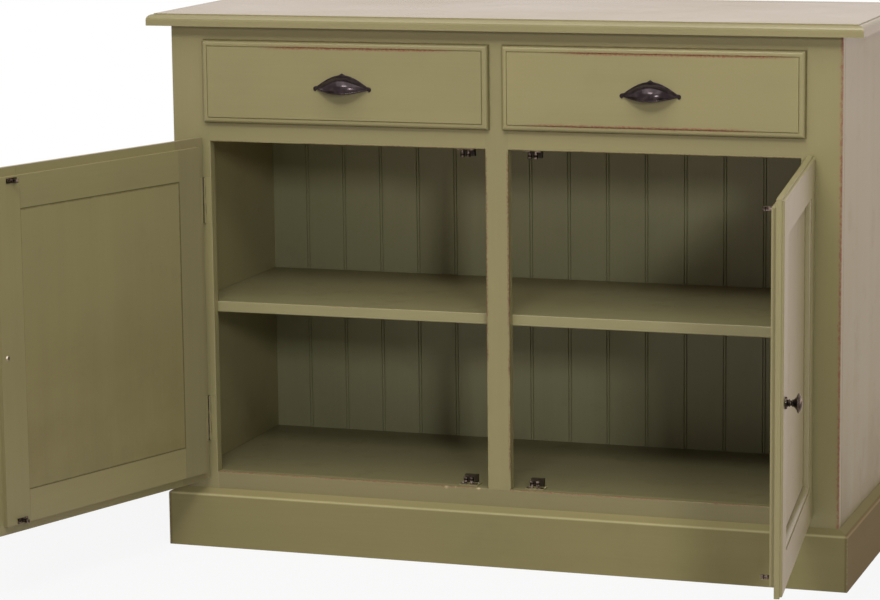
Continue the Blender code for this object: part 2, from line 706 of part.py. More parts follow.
def knob_mesh():
    """A turned knob, its axis along -Y and its foot at y = 0."""
    rim = KNOB_NECK_LENGTH + KNOB_RIM
    angles = [math.pi / 2 * i / DOME_SEGMENTS for i in range(DOME_SEGMENTS + 1)]
    profile = [
        (KNOB_RADIUS * math.sin(angle), rim + (KNOB_PROJECTION - rim) * math.cos(angle)) for angle in angles
    ]
    profile += [
        (KNOB_NECK_RADIUS, KNOB_NECK_LENGTH),
        (KNOB_NECK_RADIUS, KNOB_FOOT_HEIGHT + KNOB_FOOT_SLOPE),
        (KNOB_FOOT_RADIUS, KNOB_FOOT_HEIGHT),
        (KNOB_FOOT_RADIUS, 0.0),
        (0.0, 0.0),
    ]
    bm = bmesh.new()
    verts = [bm.verts.new((radius, 0, height)) for radius, height in profile]
    for upper, lower in zip(verts, verts[1:]):
        bm.edges.new((upper, lower))
    outline = bpy.data.meshes.new("knob_profile")
    bm.to_mesh(outline)
    bm.free()
    turned = helper(outline, (0, 0, 0))
    screw = turned.modifiers.new("turned", "SCREW")
    screw.steps = KNOB_SEGMENTS
    screw.render_steps = KNOB_SEGMENTS
    screw.use_merge_vertices = True
    screw.merge_threshold = AXIS_MERGE_DISTANCE
    bm = bmesh.new()
    bm.from_mesh(evaluated_mesh(turned))
    return mesh_from("knob", stood_up(bm))


def knuckle_spans():
    """Spans of a hinge's knuckles along its axis, from bottom to top."""
    tall = (HINGE_LENGTH - (KNUCKLES - 1) * FIT) / KNUCKLES
    starts = [-HINGE_LENGTH / 2 + i * (tall + FIT) for i in range(KNUCKLES)]
    return [(start, start + tall) for start in starts]


def hinge_leaf_mesh(name, first, y, with_pin):
    """A left-hand leaf whose knuckles are every other one from the first, its axis at x = y = 0."""
    near = KNUCKLE_RADIUS + FIT
    far = near + HINGE_LEAF_WIDTH
    shapes = [block((near, far), y, about(0, HINGE_LENGTH))]
    bores = []
    for span in knuckle_spans()[first::2]:
        shapes.append(cylinder(KNUCKLE_RADIUS, span))
        shapes.append(block((0, (near + far) / 2), y, span))
        if not with_pin:
            bores.append(cylinder(PIN_RADIUS + FIT, (span[0] - FIT, span[1] + FIT)))
    if with_pin:
        shapes.append(cylinder(PIN_RADIUS, about(0, HINGE_LENGTH)))
    return joined(name, shapes, bores)


def hinge_meshes():
    """A frame leaf with the pin, and a door leaf that turns on it."""
    frame_face = KNUCKLE_STANDOFF
    lip_face = KNUCKLE_STANDOFF - LIP_SEAT
    frame_leaf = hinge_leaf_mesh("hinge_frame_leaf", 0, (frame_face, frame_face + HINGE_LEAF), True)
    door_leaf = hinge_leaf_mesh("hinge_door_leaf", 1, (lip_face - HINGE_LEAF, lip_face), False)
    return frame_leaf, door_leaf


def hinges(side, pivot, stile, meshes):
    name = SIDE_NAMES[side]
    for level, tall in hinge_spans().items():
        place = (side * HINGE_X, HINGE_Y, (tall[0] + tall[1]) / 2)
        frame_leaf = add(f"{name}_{level}_hinge_frame_leaf", meshes[0], BRONZE, place)
        door_leaf = add(f"{name}_{level}_hinge_door_leaf", meshes[1], BRONZE, place, pivot)
        if side == RIGHT:
            # A half turn about Y makes a left-hand leaf a right-hand one.
            frame_leaf.rotation_euler.y = math.pi
            door_leaf.rotation_euler.y = math.pi
        far = HINGE_X - KNUCKLE_RADIUS - FIT - HINGE_LEAF_WIDTH
        recess_y = (LIP_BACK - HINGE_LEAF, LIP_BACK + HINGE_LEAF)
        cut_for(stile, sided(side, far, HINGE_X), recess_y, tall, pivot=pivot)


def catch_meshes():
    """Bracket and right-hand roller of a catch that stands on z = 0, between rollers at y = 0."""
    front = CORE_BACK + CATCH_CLEARANCE - ROLLER_Y
    rear = front + CATCH_DEPTH
    plate = block(about(0, CATCH_WIDTH), (front, rear), (0, CATCH_PLATE))
    housing_y = (rear - CATCH_HOUSING_DEPTH, rear)
    housing = block(about(0, CATCH_HOUSING_WIDTH), housing_y, (0, CATCH_HOUSING_HEIGHT))
    bracket = joined("catch_bracket", [plate, housing])

    arm_z = (CATCH_PLATE + FIT, CATCH_PLATE + FIT + ARM_THICKNESS)
    roller_z = about(ROLLER_MIDDLE, ROLLER_HEIGHT)
    shapes = [
        cylinder(ROLLER_RADIUS, roller_z),
        cylinder(ROLLER_PIN_RADIUS, ((arm_z[0] + arm_z[1]) / 2, ROLLER_MIDDLE)),
        block((-ROLLER_PIN_RADIUS, ARM_LENGTH), about(0, ARM_WIDTH), arm_z),
    ]
    return bracket, joined("catch_roller", shapes)


def catches(bracket_mesh, roller_mesh):
    """Catches stand on the bottom board and, turned over, hang under the middle rail."""
    levels = {"upper": (DOOR_HEAD - FIT, math.pi), "lower": (BOTTOM_TOP + FIT, 0.0)}
    for side, side_name in SIDE_NAMES.items():
        for level, (seat, turn) in levels.items():
            name = f"{side_name}_{level}_catch"
            x = side * CATCH_X
            bracket = add(f"{name}_bracket", bracket_mesh, STEEL, (x, ROLLER_Y, seat))
            bracket.rotation_euler.y = turn
            for way, end in SIDE_NAMES.items():
                roller_x = x + way * (ROLLER_GAP / 2 + ROLLER_RADIUS)
                roller = add(f"{name}_roller_{end}", roller_mesh, ROLLER_METAL, (roller_x, ROLLER_Y, seat))
                # The arm points away from the other roller, also on a catch that is turned over.
                points_right = (way == RIGHT) == (turn == 0.0)
                roller.rotation_euler = (0, turn, 0 if points_right else math.pi)
                smooth(roller)


def strike_mesh():
    """A spear on a plate that lies on y = 0, pointing towards +Y."""
    shoulder = STRIKE_PLATE + STRIKE_NECK
    right_edge = [
        (STRIKE_NECK_THICKNESS / 2, 0.0),
        (STRIKE_NECK_THICKNESS / 2, shoulder),
        (STRIKE_HEAD_THICKNESS / 2, shoulder + STRIKE_BARB),
        (STRIKE_TIP_THICKNESS / 2, shoulder + STRIKE_HEAD),
    ]
    left_edge = [(-x, y) for x, y in reversed(right_edge)]
    spear = outline_mesh("spear", right_edge + left_edge, STRIKE_HEIGHT)
    plate = block(about(0, STRIKE_PLATE_WIDTH), (0, STRIKE_PLATE), about(0, STRIKE_PLATE_HEIGHT))
    return joined("strike", [plate, (spear, (0, 0, 0))])


def door(side, opened, hinge_leaves, turned_knob, strike):
    name = SIDE_NAMES[side]
    pivot = empty(f"{name}_door_hinge_axis", (side * HINGE_X, HINGE_Y, 0))
    members = door_members(side, pivot)
    hinges(side, pivot, members["stile_hinge"], hinge_leaves)
    knob_x = side * (DOOR_MIDDLE_X - DOOR_WIDTH / 2 + KNOB_FROM_EDGE)
    knob_y = LIP_BACK - DOOR_LIP_THICKNESS - FIT
    knob_place = (knob_x, knob_y, DOOR_MIDDLE_Z - KNOB_DROP)
    smooth(add(f"{name}_door_knob", turned_knob, BRONZE, knob_place, pivot))
    levels = {"upper": DOOR_HEAD - FIT - ROLLER_MIDDLE, "lower": BOTTOM_TOP + FIT + ROLLER_MIDDLE}
    for level, height in levels.items():
        place = (side * CATCH_X, CORE_BACK + FIT, height - DOOR_DROP)
        add(f"{name}_{level}_strike", strike, STEEL, place, pivot)
    # Seen from above, the left door opens clockwise and the right one the other way.
    pivot.rotation_euler.z = side * opened


def main():
    top_board()
    side_panels()
    face_frame()
    case_boards()
    drawer_deck()
    back_boards()
    plinth_frame()
    pull_mesh = cup_pull_mesh()
    drawer(LEFT, pull_mesh)
    drawer(RIGHT, pull_mesh)
    catches(*catch_meshes())
    hinge_leaves = hinge_meshes()
    turned_knob = knob_mesh()
    strike = strike_mesh()
    door(LEFT, LEFT_DOOR_OPEN, hinge_leaves, turned_knob, strike)
    door(RIGHT, RIGHT_DOOR_OPEN, hinge_leaves, turned_knob, strike)


main()
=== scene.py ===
# Painted kitchen base cabinet: looks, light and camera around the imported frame. Metres, front towards -Y.
import json
import math

import bmesh
import bpy
from mathutils import Matrix, Vector


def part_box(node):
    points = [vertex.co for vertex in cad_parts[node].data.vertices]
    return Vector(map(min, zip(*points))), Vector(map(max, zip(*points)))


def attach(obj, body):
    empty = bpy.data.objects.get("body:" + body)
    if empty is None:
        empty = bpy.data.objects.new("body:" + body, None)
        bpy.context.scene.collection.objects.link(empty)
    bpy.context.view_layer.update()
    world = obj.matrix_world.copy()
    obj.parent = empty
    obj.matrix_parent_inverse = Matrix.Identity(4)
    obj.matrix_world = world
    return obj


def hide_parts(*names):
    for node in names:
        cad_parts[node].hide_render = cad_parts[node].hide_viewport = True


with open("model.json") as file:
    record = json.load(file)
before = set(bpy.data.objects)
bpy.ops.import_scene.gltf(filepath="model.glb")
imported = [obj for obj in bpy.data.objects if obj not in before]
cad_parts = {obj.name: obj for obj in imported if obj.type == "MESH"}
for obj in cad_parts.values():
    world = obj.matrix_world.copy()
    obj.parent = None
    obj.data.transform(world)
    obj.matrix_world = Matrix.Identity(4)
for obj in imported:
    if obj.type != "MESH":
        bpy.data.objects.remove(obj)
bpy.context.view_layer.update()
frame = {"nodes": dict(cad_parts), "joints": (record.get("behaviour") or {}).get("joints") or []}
nodes = frame["nodes"]
scene = bpy.context.scene
scene.view_settings.view_transform = "Standard"
print("frame loaded,", len(nodes), "nodes")

view = {
    "lens": 130.077, "sensor": 36.0,  # millimetres
    "place": (1.5444, -5.0635, 1.3152),
    "yaw": 18.721, "pitch": -9.72, "roll": -0.667,  # degrees
}


def setCamera():
    made = bpy.data.cameras.new("photoCamera")
    made.sensor_width = view["sensor"]
    made.lens = view["lens"]
    camera = bpy.data.objects.new("photoCamera", made)
    scene.collection.objects.link(camera)
    yaw = Matrix.Rotation(math.radians(view["yaw"]), 4, "Z")
    tilt = Matrix.Rotation(math.radians(90.0 + view["pitch"]), 4, "X")
    roll = Matrix.Rotation(math.radians(view["roll"]), 4, "Z")
    camera.matrix_world = Matrix.Translation(view["place"]) @ yaw @ tilt @ roll
    scene.camera = camera


setCamera()
print("camera set")


plainWhite = (1.0, 1.0, 1.0, 1.0)


# Small helpers for node trees, which find the tree from the sockets that they are given
def feed(socket, value):
    if isinstance(value, bpy.types.NodeSocket):
        socket.id_data.links.new(value, socket)
    else:
        socket.default_value = value


def put(tree, kind, inputs=None, **settings):
    made = tree.nodes.new(kind)
    for key, value in settings.items():
        setattr(made, key, value)
    for key, value in (inputs or {}).items():
        feed(made.inputs[key], value)
    return made


def treeOf(values):
    return next(value.id_data for value in values if isinstance(value, bpy.types.NodeSocket))


def maths(operation, *values, kind="ShaderNodeMath"):
    made = put(treeOf(values), kind, operation=operation)
    for socket, value in zip(made.inputs, values):
        feed(socket, value)
    return made.outputs[0]


def vectors(operation, *values):
    return maths(operation, *values, kind="ShaderNodeVectorMath")


def farFrom(point, place=(0.0, 0.0, 0.0)):
    inputs = {0: point, 1: place}
    return put(point.id_data, "ShaderNodeVectorMath", inputs, operation="DISTANCE").outputs["Value"]


def cloudy(point, scale, detail=2.0, rough=0.5):
    inputs = {"Vector": point, "Scale": scale, "Detail": detail, "Roughness": rough}
    return put(point.id_data, "ShaderNodeTexNoise", inputs).outputs["Fac"]


def ramp(value, start, end, low=0.0, high=1.0):
    inputs = {"Value": value, "From Min": start, "From Max": end, "To Min": low, "To Max": high}
    made = put(value.id_data, "ShaderNodeMapRange", inputs, interpolation_type="SMOOTHSTEP")
    return made.outputs["Result"]


def tint(share, first, second, way="MIX"):
    tree, inputs = treeOf((share, first, second)), {0: share, 6: first, 7: second}
    return put(tree, "ShaderNodeMix", inputs, data_type="RGBA", blend_type=way).outputs[2]


def times(first, second):
    return maths("MULTIPLY", first, second)


# A value times an amount, added to what is there
def added(value, amount, base):
    return maths("MULTIPLY_ADD", value, amount, base)


def less(first, second):
    return maths("SUBTRACT", first, second)


def unsigned(value):
    return maths("ABSOLUTE", value)


# A noise around one half moves a value by the amount given
def sway(noise, amount, value):
    return added(less(noise, 0.5), amount, value)


def axes(point):
    return put(point.id_data, "ShaderNodeSeparateXYZ", {0: point}).outputs


# From the first finish to the second one, by a share
def blend(share, first, second):
    mixed = {"Color": tint(share, first["Color"], second["Color"])}
    for part in ("Roughness", "Height"):
        span = less(second[part], first[part])
        mixed[part] = added(span, share, first[part])
    return mixed


def newGroup(name, inputs, outputs):
    tree = bpy.data.node_groups.new(name, "ShaderNodeTree")
    kinds = {"v": "NodeSocketVector", "f": "NodeSocketFloat", "c": "NodeSocketColor"}
    for label, kind in inputs.items():
        tree.interface.new_socket(name=label, in_out="INPUT", socket_type=kinds[kind])
    for label, kind in outputs.items():
        tree.interface.new_socket(name=label, in_out="OUTPUT", socket_type=kinds[kind])
    start = tree.nodes.new("NodeGroupInput").outputs
    end = tree.nodes.new("NodeGroupOutput").inputs
    return tree, start, end


def placeGroup(group, inputs):
    return put(treeOf(inputs.values()), "ShaderNodeGroup", inputs, node_tree=group).outputs


def shifted(point, seed):
    steps = put(point.id_data, "ShaderNodeCombineXYZ", {"X": seed, "Y": times(seed, 0.37)})
    return vectors("ADD", point, steps.outputs[0])


# Distance from a point on a board to the nearest edge of the board's own box
def makeEdgeGroup():
    tree, given, out = newGroup("edgeOfBoard", {"Point": "v", "Low": "v", "High": "v"}, {"Edge": "f"})
    below = vectors("SUBTRACT", given["Point"], given["Low"])
    above = vectors("SUBTRACT", given["High"], given["Point"])
    near = vectors("MINIMUM", below, above)
    x, y, z = axes(near)
    small = maths("MINIMUM", x, y)
    large = maths("MAXIMUM", x, y)
    middle = maths("MAXIMUM", small, maths("MINIMUM", large, z))
    feed(out["Edge"], middle)
    return tree


# Patches along an edge where the paint is rubbed through
rubLook = {"soft": 0.12, "core": 0.15, "raggedScale": 170.0, "thinScale": 240.0, "thin": (0.3, 0.9)}


def makeRubGroup():
    inputs = {"Point": "v", "Edge": "f", "Inset": "f", "Width": "f", "Amount": "f", "Patch": "f", "Seed": "f"}
    tree, given, out = newGroup("rubThrough", inputs, {"Mask": "f"})
    point = shifted(given["Point"], given["Seed"])
    away = unsigned(less(given["Edge"], given["Inset"]))
    patch = cloudy(point, given["Patch"], 3.0, 0.6)
    level = added(given["Amount"], -0.5, 0.75)  # more rubbing, lower level
    stretch = ramp(patch, level, maths("ADD", level, rubLook["soft"]))
    ragged = cloudy(point, rubLook["raggedScale"], 3.0, 0.6)
    width = times(given["Width"], added(ragged, 1.8, 0.1))
    line = ramp(away, times(width, rubLook["core"]), width, 1.0, 0.0)
    thin = ramp(cloudy(point, rubLook["thinScale"], 2.0, 0.6), 0.3, 0.7, *rubLook["thin"])
    feed(out["Mask"], times(times(stretch, line), thin))
    return tree


# Painted shade: a fine dark line along an upright rectangle, where something lies against a painted face
def makeShadeLineGroup():
    inputs = {"Point": "v", "Low": "v", "High": "v", "Width": "f"}
    tree, given, out = newGroup("paintedShadeLine", inputs, {"Mask": "f"})
    below = vectors("SUBTRACT", given["Low"], given["Point"])
    above = vectors("SUBTRACT", given["Point"], given["High"])
    past = axes(vectors("MAXIMUM", below, above))
    away = unsigned(maths("MAXIMUM", past["X"], past["Z"]))
    ragged = cloudy(given["Point"], 60.0, 3.0, 0.6)
    width = times(given["Width"], added(ragged, 1.2, 0.4))
    feed(out["Mask"], ramp(away, 0.0, width, 1.0, 0.0))
    return tree


finishOutputs = {"Color": "c", "Roughness": "f", "Height": "f"}


# Satin paint with brush marks, clouds, smudges and the rubbed undercoat, made darker and browner by the
# painted shade that it is given
satinLook = {
    "cloudScale": 3.4, "grimeScale": 13.0, "fineScale": 900.0, "broad": (0.12, 0.12, 0.12),
    "tone": {"cloud": 0.18, "brush": 0.08, "broad": 0.12, "grimeAndShade": -0.10, "crease": -0.68},
    "rough": {"cloud": 0.16, "brush": 0.04, "grimeAndShade": 0.10, "crease": 0.2, "rub": 0.22},
    "warm": (1.05, 0.985, 0.94, 1.0), "shadeTint": (1.0, 0.92, 0.70, 1.0), "stain": (0.55, 0.6, 0.7, 1.0),
    "height": {"broad": 0.5, "brush": 0.6, "fine": 0.12, "rub": -0.9},
}


def makePaintGroup():
    inputs = {
        "Point": "v", "Stretch": "v", "Seed": "f", "Paint": "c", "Undercoat": "c",
        "Rub": "f", "PaintedShade": "f", "Smudge": "f", "Streak": "f", "Gloss": "f",
    }
    tree, given, out = newGroup("satinPaint", inputs, finishOutputs)
    point = shifted(given["Point"], given["Seed"])
    along = vectors("MULTIPLY", point, given["Stretch"])
    brush = cloudy(along, 1.0, 3.0, 0.6)
    broad = cloudy(vectors("MULTIPLY", along, satinLook["broad"]), 1.0, 2.0)
    cloud = cloudy(point, satinLook["cloudScale"], 3.0, 0.55)
    grimeAndShade = ramp(cloudy(point, satinLook["grimeScale"], 5.0, 0.68), 0.52, 0.74)
    grimeAndShade = times(grimeAndShade, given["Smudge"])
    fine = cloudy(point, satinLook["fineScale"], 2.0, 0.6)
    tone, roughen = satinLook["tone"], satinLook["rough"]
    level = sway(cloud, tone["cloud"], 1.0)
    level = sway(brush, tone["brush"], level)
    level = sway(broad, tone["broad"], level)
    level = added(grimeAndShade, tone["grimeAndShade"], level)
    level = added(given["PaintedShade"], tone["crease"], level)
    shade = put(tree, "ShaderNodeCombineXYZ", {"X": level, "Y": level, "Z": level}).outputs[0]
    coat = tint(1.0, given["Paint"], shade, "MULTIPLY")
    coat = tint(cloud, coat, satinLook["warm"], "MULTIPLY")
    coat = tint(given["PaintedShade"], coat, satinLook["shadeTint"], "MULTIPLY")
    under = tint(brush, given["Undercoat"], satinLook["stain"], "MULTIPLY")
    feed(out["Color"], tint(given["Rub"], coat, under))
    rough = sway(cloud, roughen["cloud"], given["Gloss"])
    rough = sway(brush, roughen["brush"], rough)
    rough = sway(broad, given["Streak"], rough)
    rough = added(grimeAndShade, roughen["grimeAndShade"], rough)
    rough = added(given["PaintedShade"], roughen["crease"], rough)
    feed(out["Roughness"], added(given["Rub"], roughen["rub"], rough))
    relief = satinLook["height"]
    height = added(broad, relief["broad"], times(brush, relief["brush"]))
    height = added(fine, relief["fine"], height)
    feed(out["Height"], added(given["Rub"], relief["rub"], height))
    return tree


# Plain softwood with growth lines along the board
grainLook = {
    "bendScale": (0.05, 0.05, 0.05), "bandScale": (0.3, 0.3, 0.3), "distortion": 0.9, "bend": 0.7,
    "rings": 38.0, "poreScale": 2.6, "gloss": 0.48,
}


def makeWoodGroup():
    inputs = {"Point": "v", "Stretch": "v", "Seed": "f", "Pale": "c", "Dark": "c"}
    tree, given, out = newGroup("softwood", inputs, finishOutputs)
    point = shifted(given["Point"], given["Seed"])
    along = vectors("MULTIPLY", point, given["Stretch"])
    bend = cloudy(vectors("MULTIPLY", along, grainLook["bendScale"]), 1.0, 2.0)
    wide = vectors("MULTIPLY", along, grainLook["bandScale"])
    inputs = {"Vector": wide, "Scale": 1.0, "Detail": 3.0, "Distortion": grainLook["distortion"]}
    bands = put(tree, "ShaderNodeTexNoise", inputs).outputs["Fac"]
    rings = maths("SINE", times(added(bend, grainLook["bend"], bands), grainLook["rings"]))
    rings = added(rings, 0.5, 0.5)
    pores = cloudy(along, grainLook["poreScale"], 3.0, 0.7)
    share = added(rings, 0.45, times(pores, 0.45))
    feed(out["Color"], tint(share, given["Pale"], given["Dark"]))
    feed(out["Roughness"], added(pores, 0.25, grainLook["gloss"]))
    feed(out["Height"], added(pores, 0.7, times(rings, 0.3)))
    return tree


# Dark patinated metal, rubbed a little brighter in clouds
def makeMetalGroup():
    inputs = {"Point": "v", "Dark": "c", "Bright": "c", "Scale": "f", "Gloss": "f", "Polish": "f"}
    tree, given, out = newGroup("patina", inputs, finishOutputs)
    blotch = cloudy(given["Point"], given["Scale"], 4.0, 0.6)
    grit = cloudy(given["Point"], times(given["Scale"], 14.0), 2.0, 0.6)
    share = times(ramp(blotch, 0.4, 0.72), given["Polish"])
    feed(out["Color"], tint(share, given["Dark"], given["Bright"]))
    rough = sway(blotch, 0.16, given["Gloss"])
    feed(out["Roughness"], added(grit, 0.05, rough))
    feed(out["Height"], added(grit, 0.35, times(blotch, 0.4)))
    return tree


edgeGroup = makeEdgeGroup()
rubGroup = makeRubGroup()
shadeLineGroup = makeShadeLineGroup()
paintGroup = makePaintGroup()
woodGroup = makeWoodGroup()
metalGroup = makeMetalGroup()
print("finishes: groups made")


# A door's hinge line and how far it stands turned from shut, read from its joint
def doorTurn(side):
    joint = next(j for j in frame["joints"] if j["name"] == side + "_door_hinge")
    angle = -math.radians(joint["range_deg"][0]) * joint["axis"][2]
    return Vector((joint["pos_m"][0], joint["pos_m"][1], 0.0)), angle


doors = {side: doorTurn(side) for side in ("left", "right")}


def sideOfDoor(name):
    for side in doors:
        if name.startswith(side + "_door") or name.endswith("_strike") and name.startswith(side):
            return side
    return None


# Lowest and highest corner of a node, on a door measured from the hinge line as if the door were shut
def ownBox(name):
    side = sideOfDoor(name)
    points = [v.co for v in nodes[name].data.vertices]
    if side:
        hinge, angle = doors[side]
        back = Matrix.Rotation(-angle, 3, "Z")
        points = [back @ (p - hinge) for p in points]
    low = Vector([min(p[i] for p in points) for i in range(3)])
    high = Vector([max(p[i] for p in points) for i in range(3)])
    return low, high


# A point given on a shut door, where it is with the door as it stands
def onDoor(side, point):
    hinge, angle = doors[side]
    return Matrix.Rotation(angle, 3, "Z") @ Vector(point) + hinge


# Where a pattern lies: on the case, or on a door measured as if the door were shut
def ownPoint(tree, side):
    point = put(tree, "ShaderNodeTexCoord").outputs["Object"]
    if side is None:
        return point
    hinge, angle = doors[side]
    inputs = {"Vector": point, "Location": hinge, "Rotation": (0.0, 0.0, angle)}
    return put(tree, "ShaderNodeMapping", inputs, vector_type="TEXTURE").outputs[0]


def newMaterial(name, side=None):
    made = bpy.data.materials.new(name)
    made.use_nodes = True
    return made, made.node_tree.nodes["Principled BSDF"], ownPoint(made.node_tree, side)


def finishWith(shader, made, strength, distance):
    feed(shader.inputs["Base Color"], made["Color"])
    feed(shader.inputs["Roughness"], made["Roughness"])
    inputs = {"Height": made["Height"], "Strength": strength, "Distance": distance}
    feed(shader.inputs["Normal"], put(shader.id_data, "ShaderNodeBump", inputs).outputs[0])


def dress(name, material):
    mesh = nodes[name].data
    mesh.materials.clear()
    mesh.materials.append(material)


oliveLook = {
    # inside: a cooler tint for the back boards, painted shade of the bays
    "paint": (0.264, 0.239, 0.114, 1.0), "inside": (0.95, 1.06, 1.22),
    # pale: a paler paint for the painted highlights along the plinth's edges and nose
    "pale": (0.42, 0.38, 0.20, 1.0), "chip": (0.55, 0.46, 0.28, 1.0), "chipScale": 320.0,
    # the second undercoat is darker: rubbed-through wear, darkened as painted shade along the openings' edges
    "undercoat": (0.27, 0.060, 0.034, 1.0), "shadedUndercoat": (0.15, 0.046, 0.024, 1.0),
    "gloss": 0.38, "reflection": (1.0, 0.93, 0.91, 1.0),
    "bump": 0.16, "bumpDepth": 0.0004,
    # widths of the painted shade lines round the drawers and the door panels, and how much further a panel's
    # line reaches on one side
    "crease": 0.0030, "panelShadeLine": 0.0042, "hiddenLine": 0.0026,
    "fade": 0.07, "stop": 0.006,  # lengths over which the rubbing runs out, along a board and up a stile
    # a browner painted shade on the plinth's ends, and the size of the patches of painted shade at a foot
    "flankShade": (0.77, 0.67, 0.64, 1.0), "footShadeScale": 7.0,
    "far": 1.0,  # an end of a board that has no free edge is moved this far off
}
brushAlong = {"x": (7.0, 230.0, 230.0), "z": (230.0, 230.0, 7.0), "xy": (8.0, 8.0, 230.0)}
# Painted shade lines run round the two drawer fronts
drawerEdges = [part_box("drawer_front_left"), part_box("drawer_front_right")]


# The paint of the case, darker or paler in each colour, for painted shade or painted light on a board
def shadedPaint(shade):
    return [c * share for c, share in zip(oliveLook["paint"], shade)] + [1.0]


# The part of a door's panel that its frame leaves open, round which a painted shade line runs, a little wider
# where the dark line is hidden in part
def panelEdge(side):
    hingeStile, freeStile, bottom, top = [
        ownBox(f"{side}_door_{board}") for board in ("stile_hinge", "stile_free", "rail_bottom", "rail_top")
    ]
    left, right = sorted((hingeStile, freeStile), key=lambda box: box[0].x)
    low, high = Vector((left[1].x, 0.0, bottom[1].z)), Vector((right[0].x, 0.0, top[0].z))
    if side == "left":
        high.x += oliveLook["hiddenLine"]
    else:
        low.x -= oliveLook["hiddenLine"]
    return low, high


# One mask of painted shade lines round the boxes given
def shadeLineMask(point, boxes, width):
    masks = []
    for low, high in boxes:
        inputs = {"Point": point, "Low": low, "High": high, "Width": width}
        masks.append(placeGroup(shadeLineGroup, inputs)["Mask"])
    while len(masks) > 1:
        masks.append(maths("MAXIMUM", masks.pop(), masks.pop()))
    return masks[0] if masks else 0.0


# 1 along the parts of a board's top and bottom edge that are worn, given as shares of its length
def spanMask(point, low, high, spans):
    place = axes(point)
    above = maths("GREATER_THAN", place["Z"], (low.z + high.z) / 2)
    fade = oliveLook["fade"]
    masks = []
    for shares in spans:
        start, end = [low.x + (high.x - low.x) * share for share in shares]
        rising = ramp(place["X"], start, start + fade)
        masks.append(times(rising, ramp(place["X"], end - fade, end, 1.0, 0.0)))
    upper = times(masks[0], above)
    return added(masks[1], less(1.0, above), upper)


# ends: faces that make free edges, small letter for the low end of an axis and capital for the high end
# rise: heights between which the rubbing grows, and its share below
# the foot's painted shade: heights between which it fades out, and how dark it is
# pale: height and width of a band painted paler, a painted highlight
# chips: places and sizes of knocks in the paint
# spans: where the top and the bottom edge are worn
# flank: depth of the ends painted a browner shade
# front: depth and strength of a paler front edge, a painted highlight
# until: height where the rubbing ends
def paintMaterial(
    name, along, ends, rub, width=0.0016, inset=0.0, patch=9.0, seed=0.0, smudge=0.3, streak=0.0,
    shade=(1.0, 1.0, 1.0), gloss=oliveLook["gloss"], shine=0.5, bump=oliveLook["bump"],
    creases=(), creaseWidth=oliveLook["crease"], undercoat=oliveLook["undercoat"], chips=(),
    rise=None, footShade=None, pale=None, spans=None, flank=None, front=None, until=None,
):
    made, shader, point = newMaterial(name + "_paint", sideOfDoor(name))
    feed(shader.inputs["Specular Tint"], oliveLook["reflection"])
    feed(shader.inputs["Specular IOR Level"], shine)
    across, depth, height = axes(point)
    low, high = ownBox(name)
    paint = shadedPaint(shade)
    # Painted highlight: a paler band at the height given
    if pale:
        middle, reach = pale
        away = unsigned(less(height, middle))
        paint = tint(ramp(away, 0.0, reach, 1.0, 0.0), paint, oliveLook["pale"])
    # Painted shade: browner ends
    if flank:
        start = high.x - flank
        shadedFlank = ramp(unsigned(across), start, start + flank / 2)
        paint = tint(shadedFlank, paint, oliveLook["flankShade"], "MULTIPLY")
    # Painted highlight: a paler front edge
    if front:
        reach, strength = front
        edge = ramp(depth, low.y + reach, low.y + 2 * reach, 1.0, 0.0)
        paint = tint(edge, paint, (strength, strength, strength, 1.0), "MULTIPLY")
    for place, reach in chips:
        ragged = times(cloudy(point, oliveLook["chipScale"], 3.0, 0.7), 2.0 * reach)
        knocked = ramp(farFrom(point, place), 0.0, ragged, 1.0, 0.0)
        paint = tint(knocked, paint, oliveLook["chip"])
    if rise:
        start, end, below = rise
        rub = ramp(height, start, end, below * rub, rub)
    worn = spanMask(point, low, high, spans) if spans else 1.0
    if until:
        worn = ramp(height, until - oliveLook["stop"], until, 1.0, 0.0)
    for i, axis in enumerate("xyz"):
        if axis not in ends:
            low[i] -= oliveLook["far"]
        if axis.upper() not in ends:
            high[i] += oliveLook["far"]
    edge = placeGroup(edgeGroup, {"Point": point, "Low": low, "High": high})
    mask = placeGroup(rubGroup, {
        "Point": point, "Edge": edge["Edge"], "Inset": inset, "Width": width, "Amount": rub,
        "Patch": patch, "Seed": seed,
    })
    # painted shade lines round the drawers or a door's panel
    crease = shadeLineMask(point, creases, creaseWidth)
    # Painted shade: darker towards the bottom, in patches
    if footShade:
        start, end, dark = footShade
        patchy = ramp(cloudy(point, oliveLook["footShadeScale"], 4.0, 0.6), 0.25, 0.7, 0.4, 1.0)
        foot = ramp(height, start, end, dark, 0.0)
        crease = maths("MAXIMUM", crease, times(foot, patchy))
    coat = placeGroup(paintGroup, {
        "Point": point, "Stretch": brushAlong[along], "Seed": seed, "Paint": paint, "Undercoat": undercoat,
        "Rub": times(mask["Mask"], worn), "PaintedShade": crease,
        "Smudge": smudge, "Streak": streak, "Gloss": gloss,
    })
    finishWith(shader, coat, bump, oliveLook["bumpDepth"])
    return made
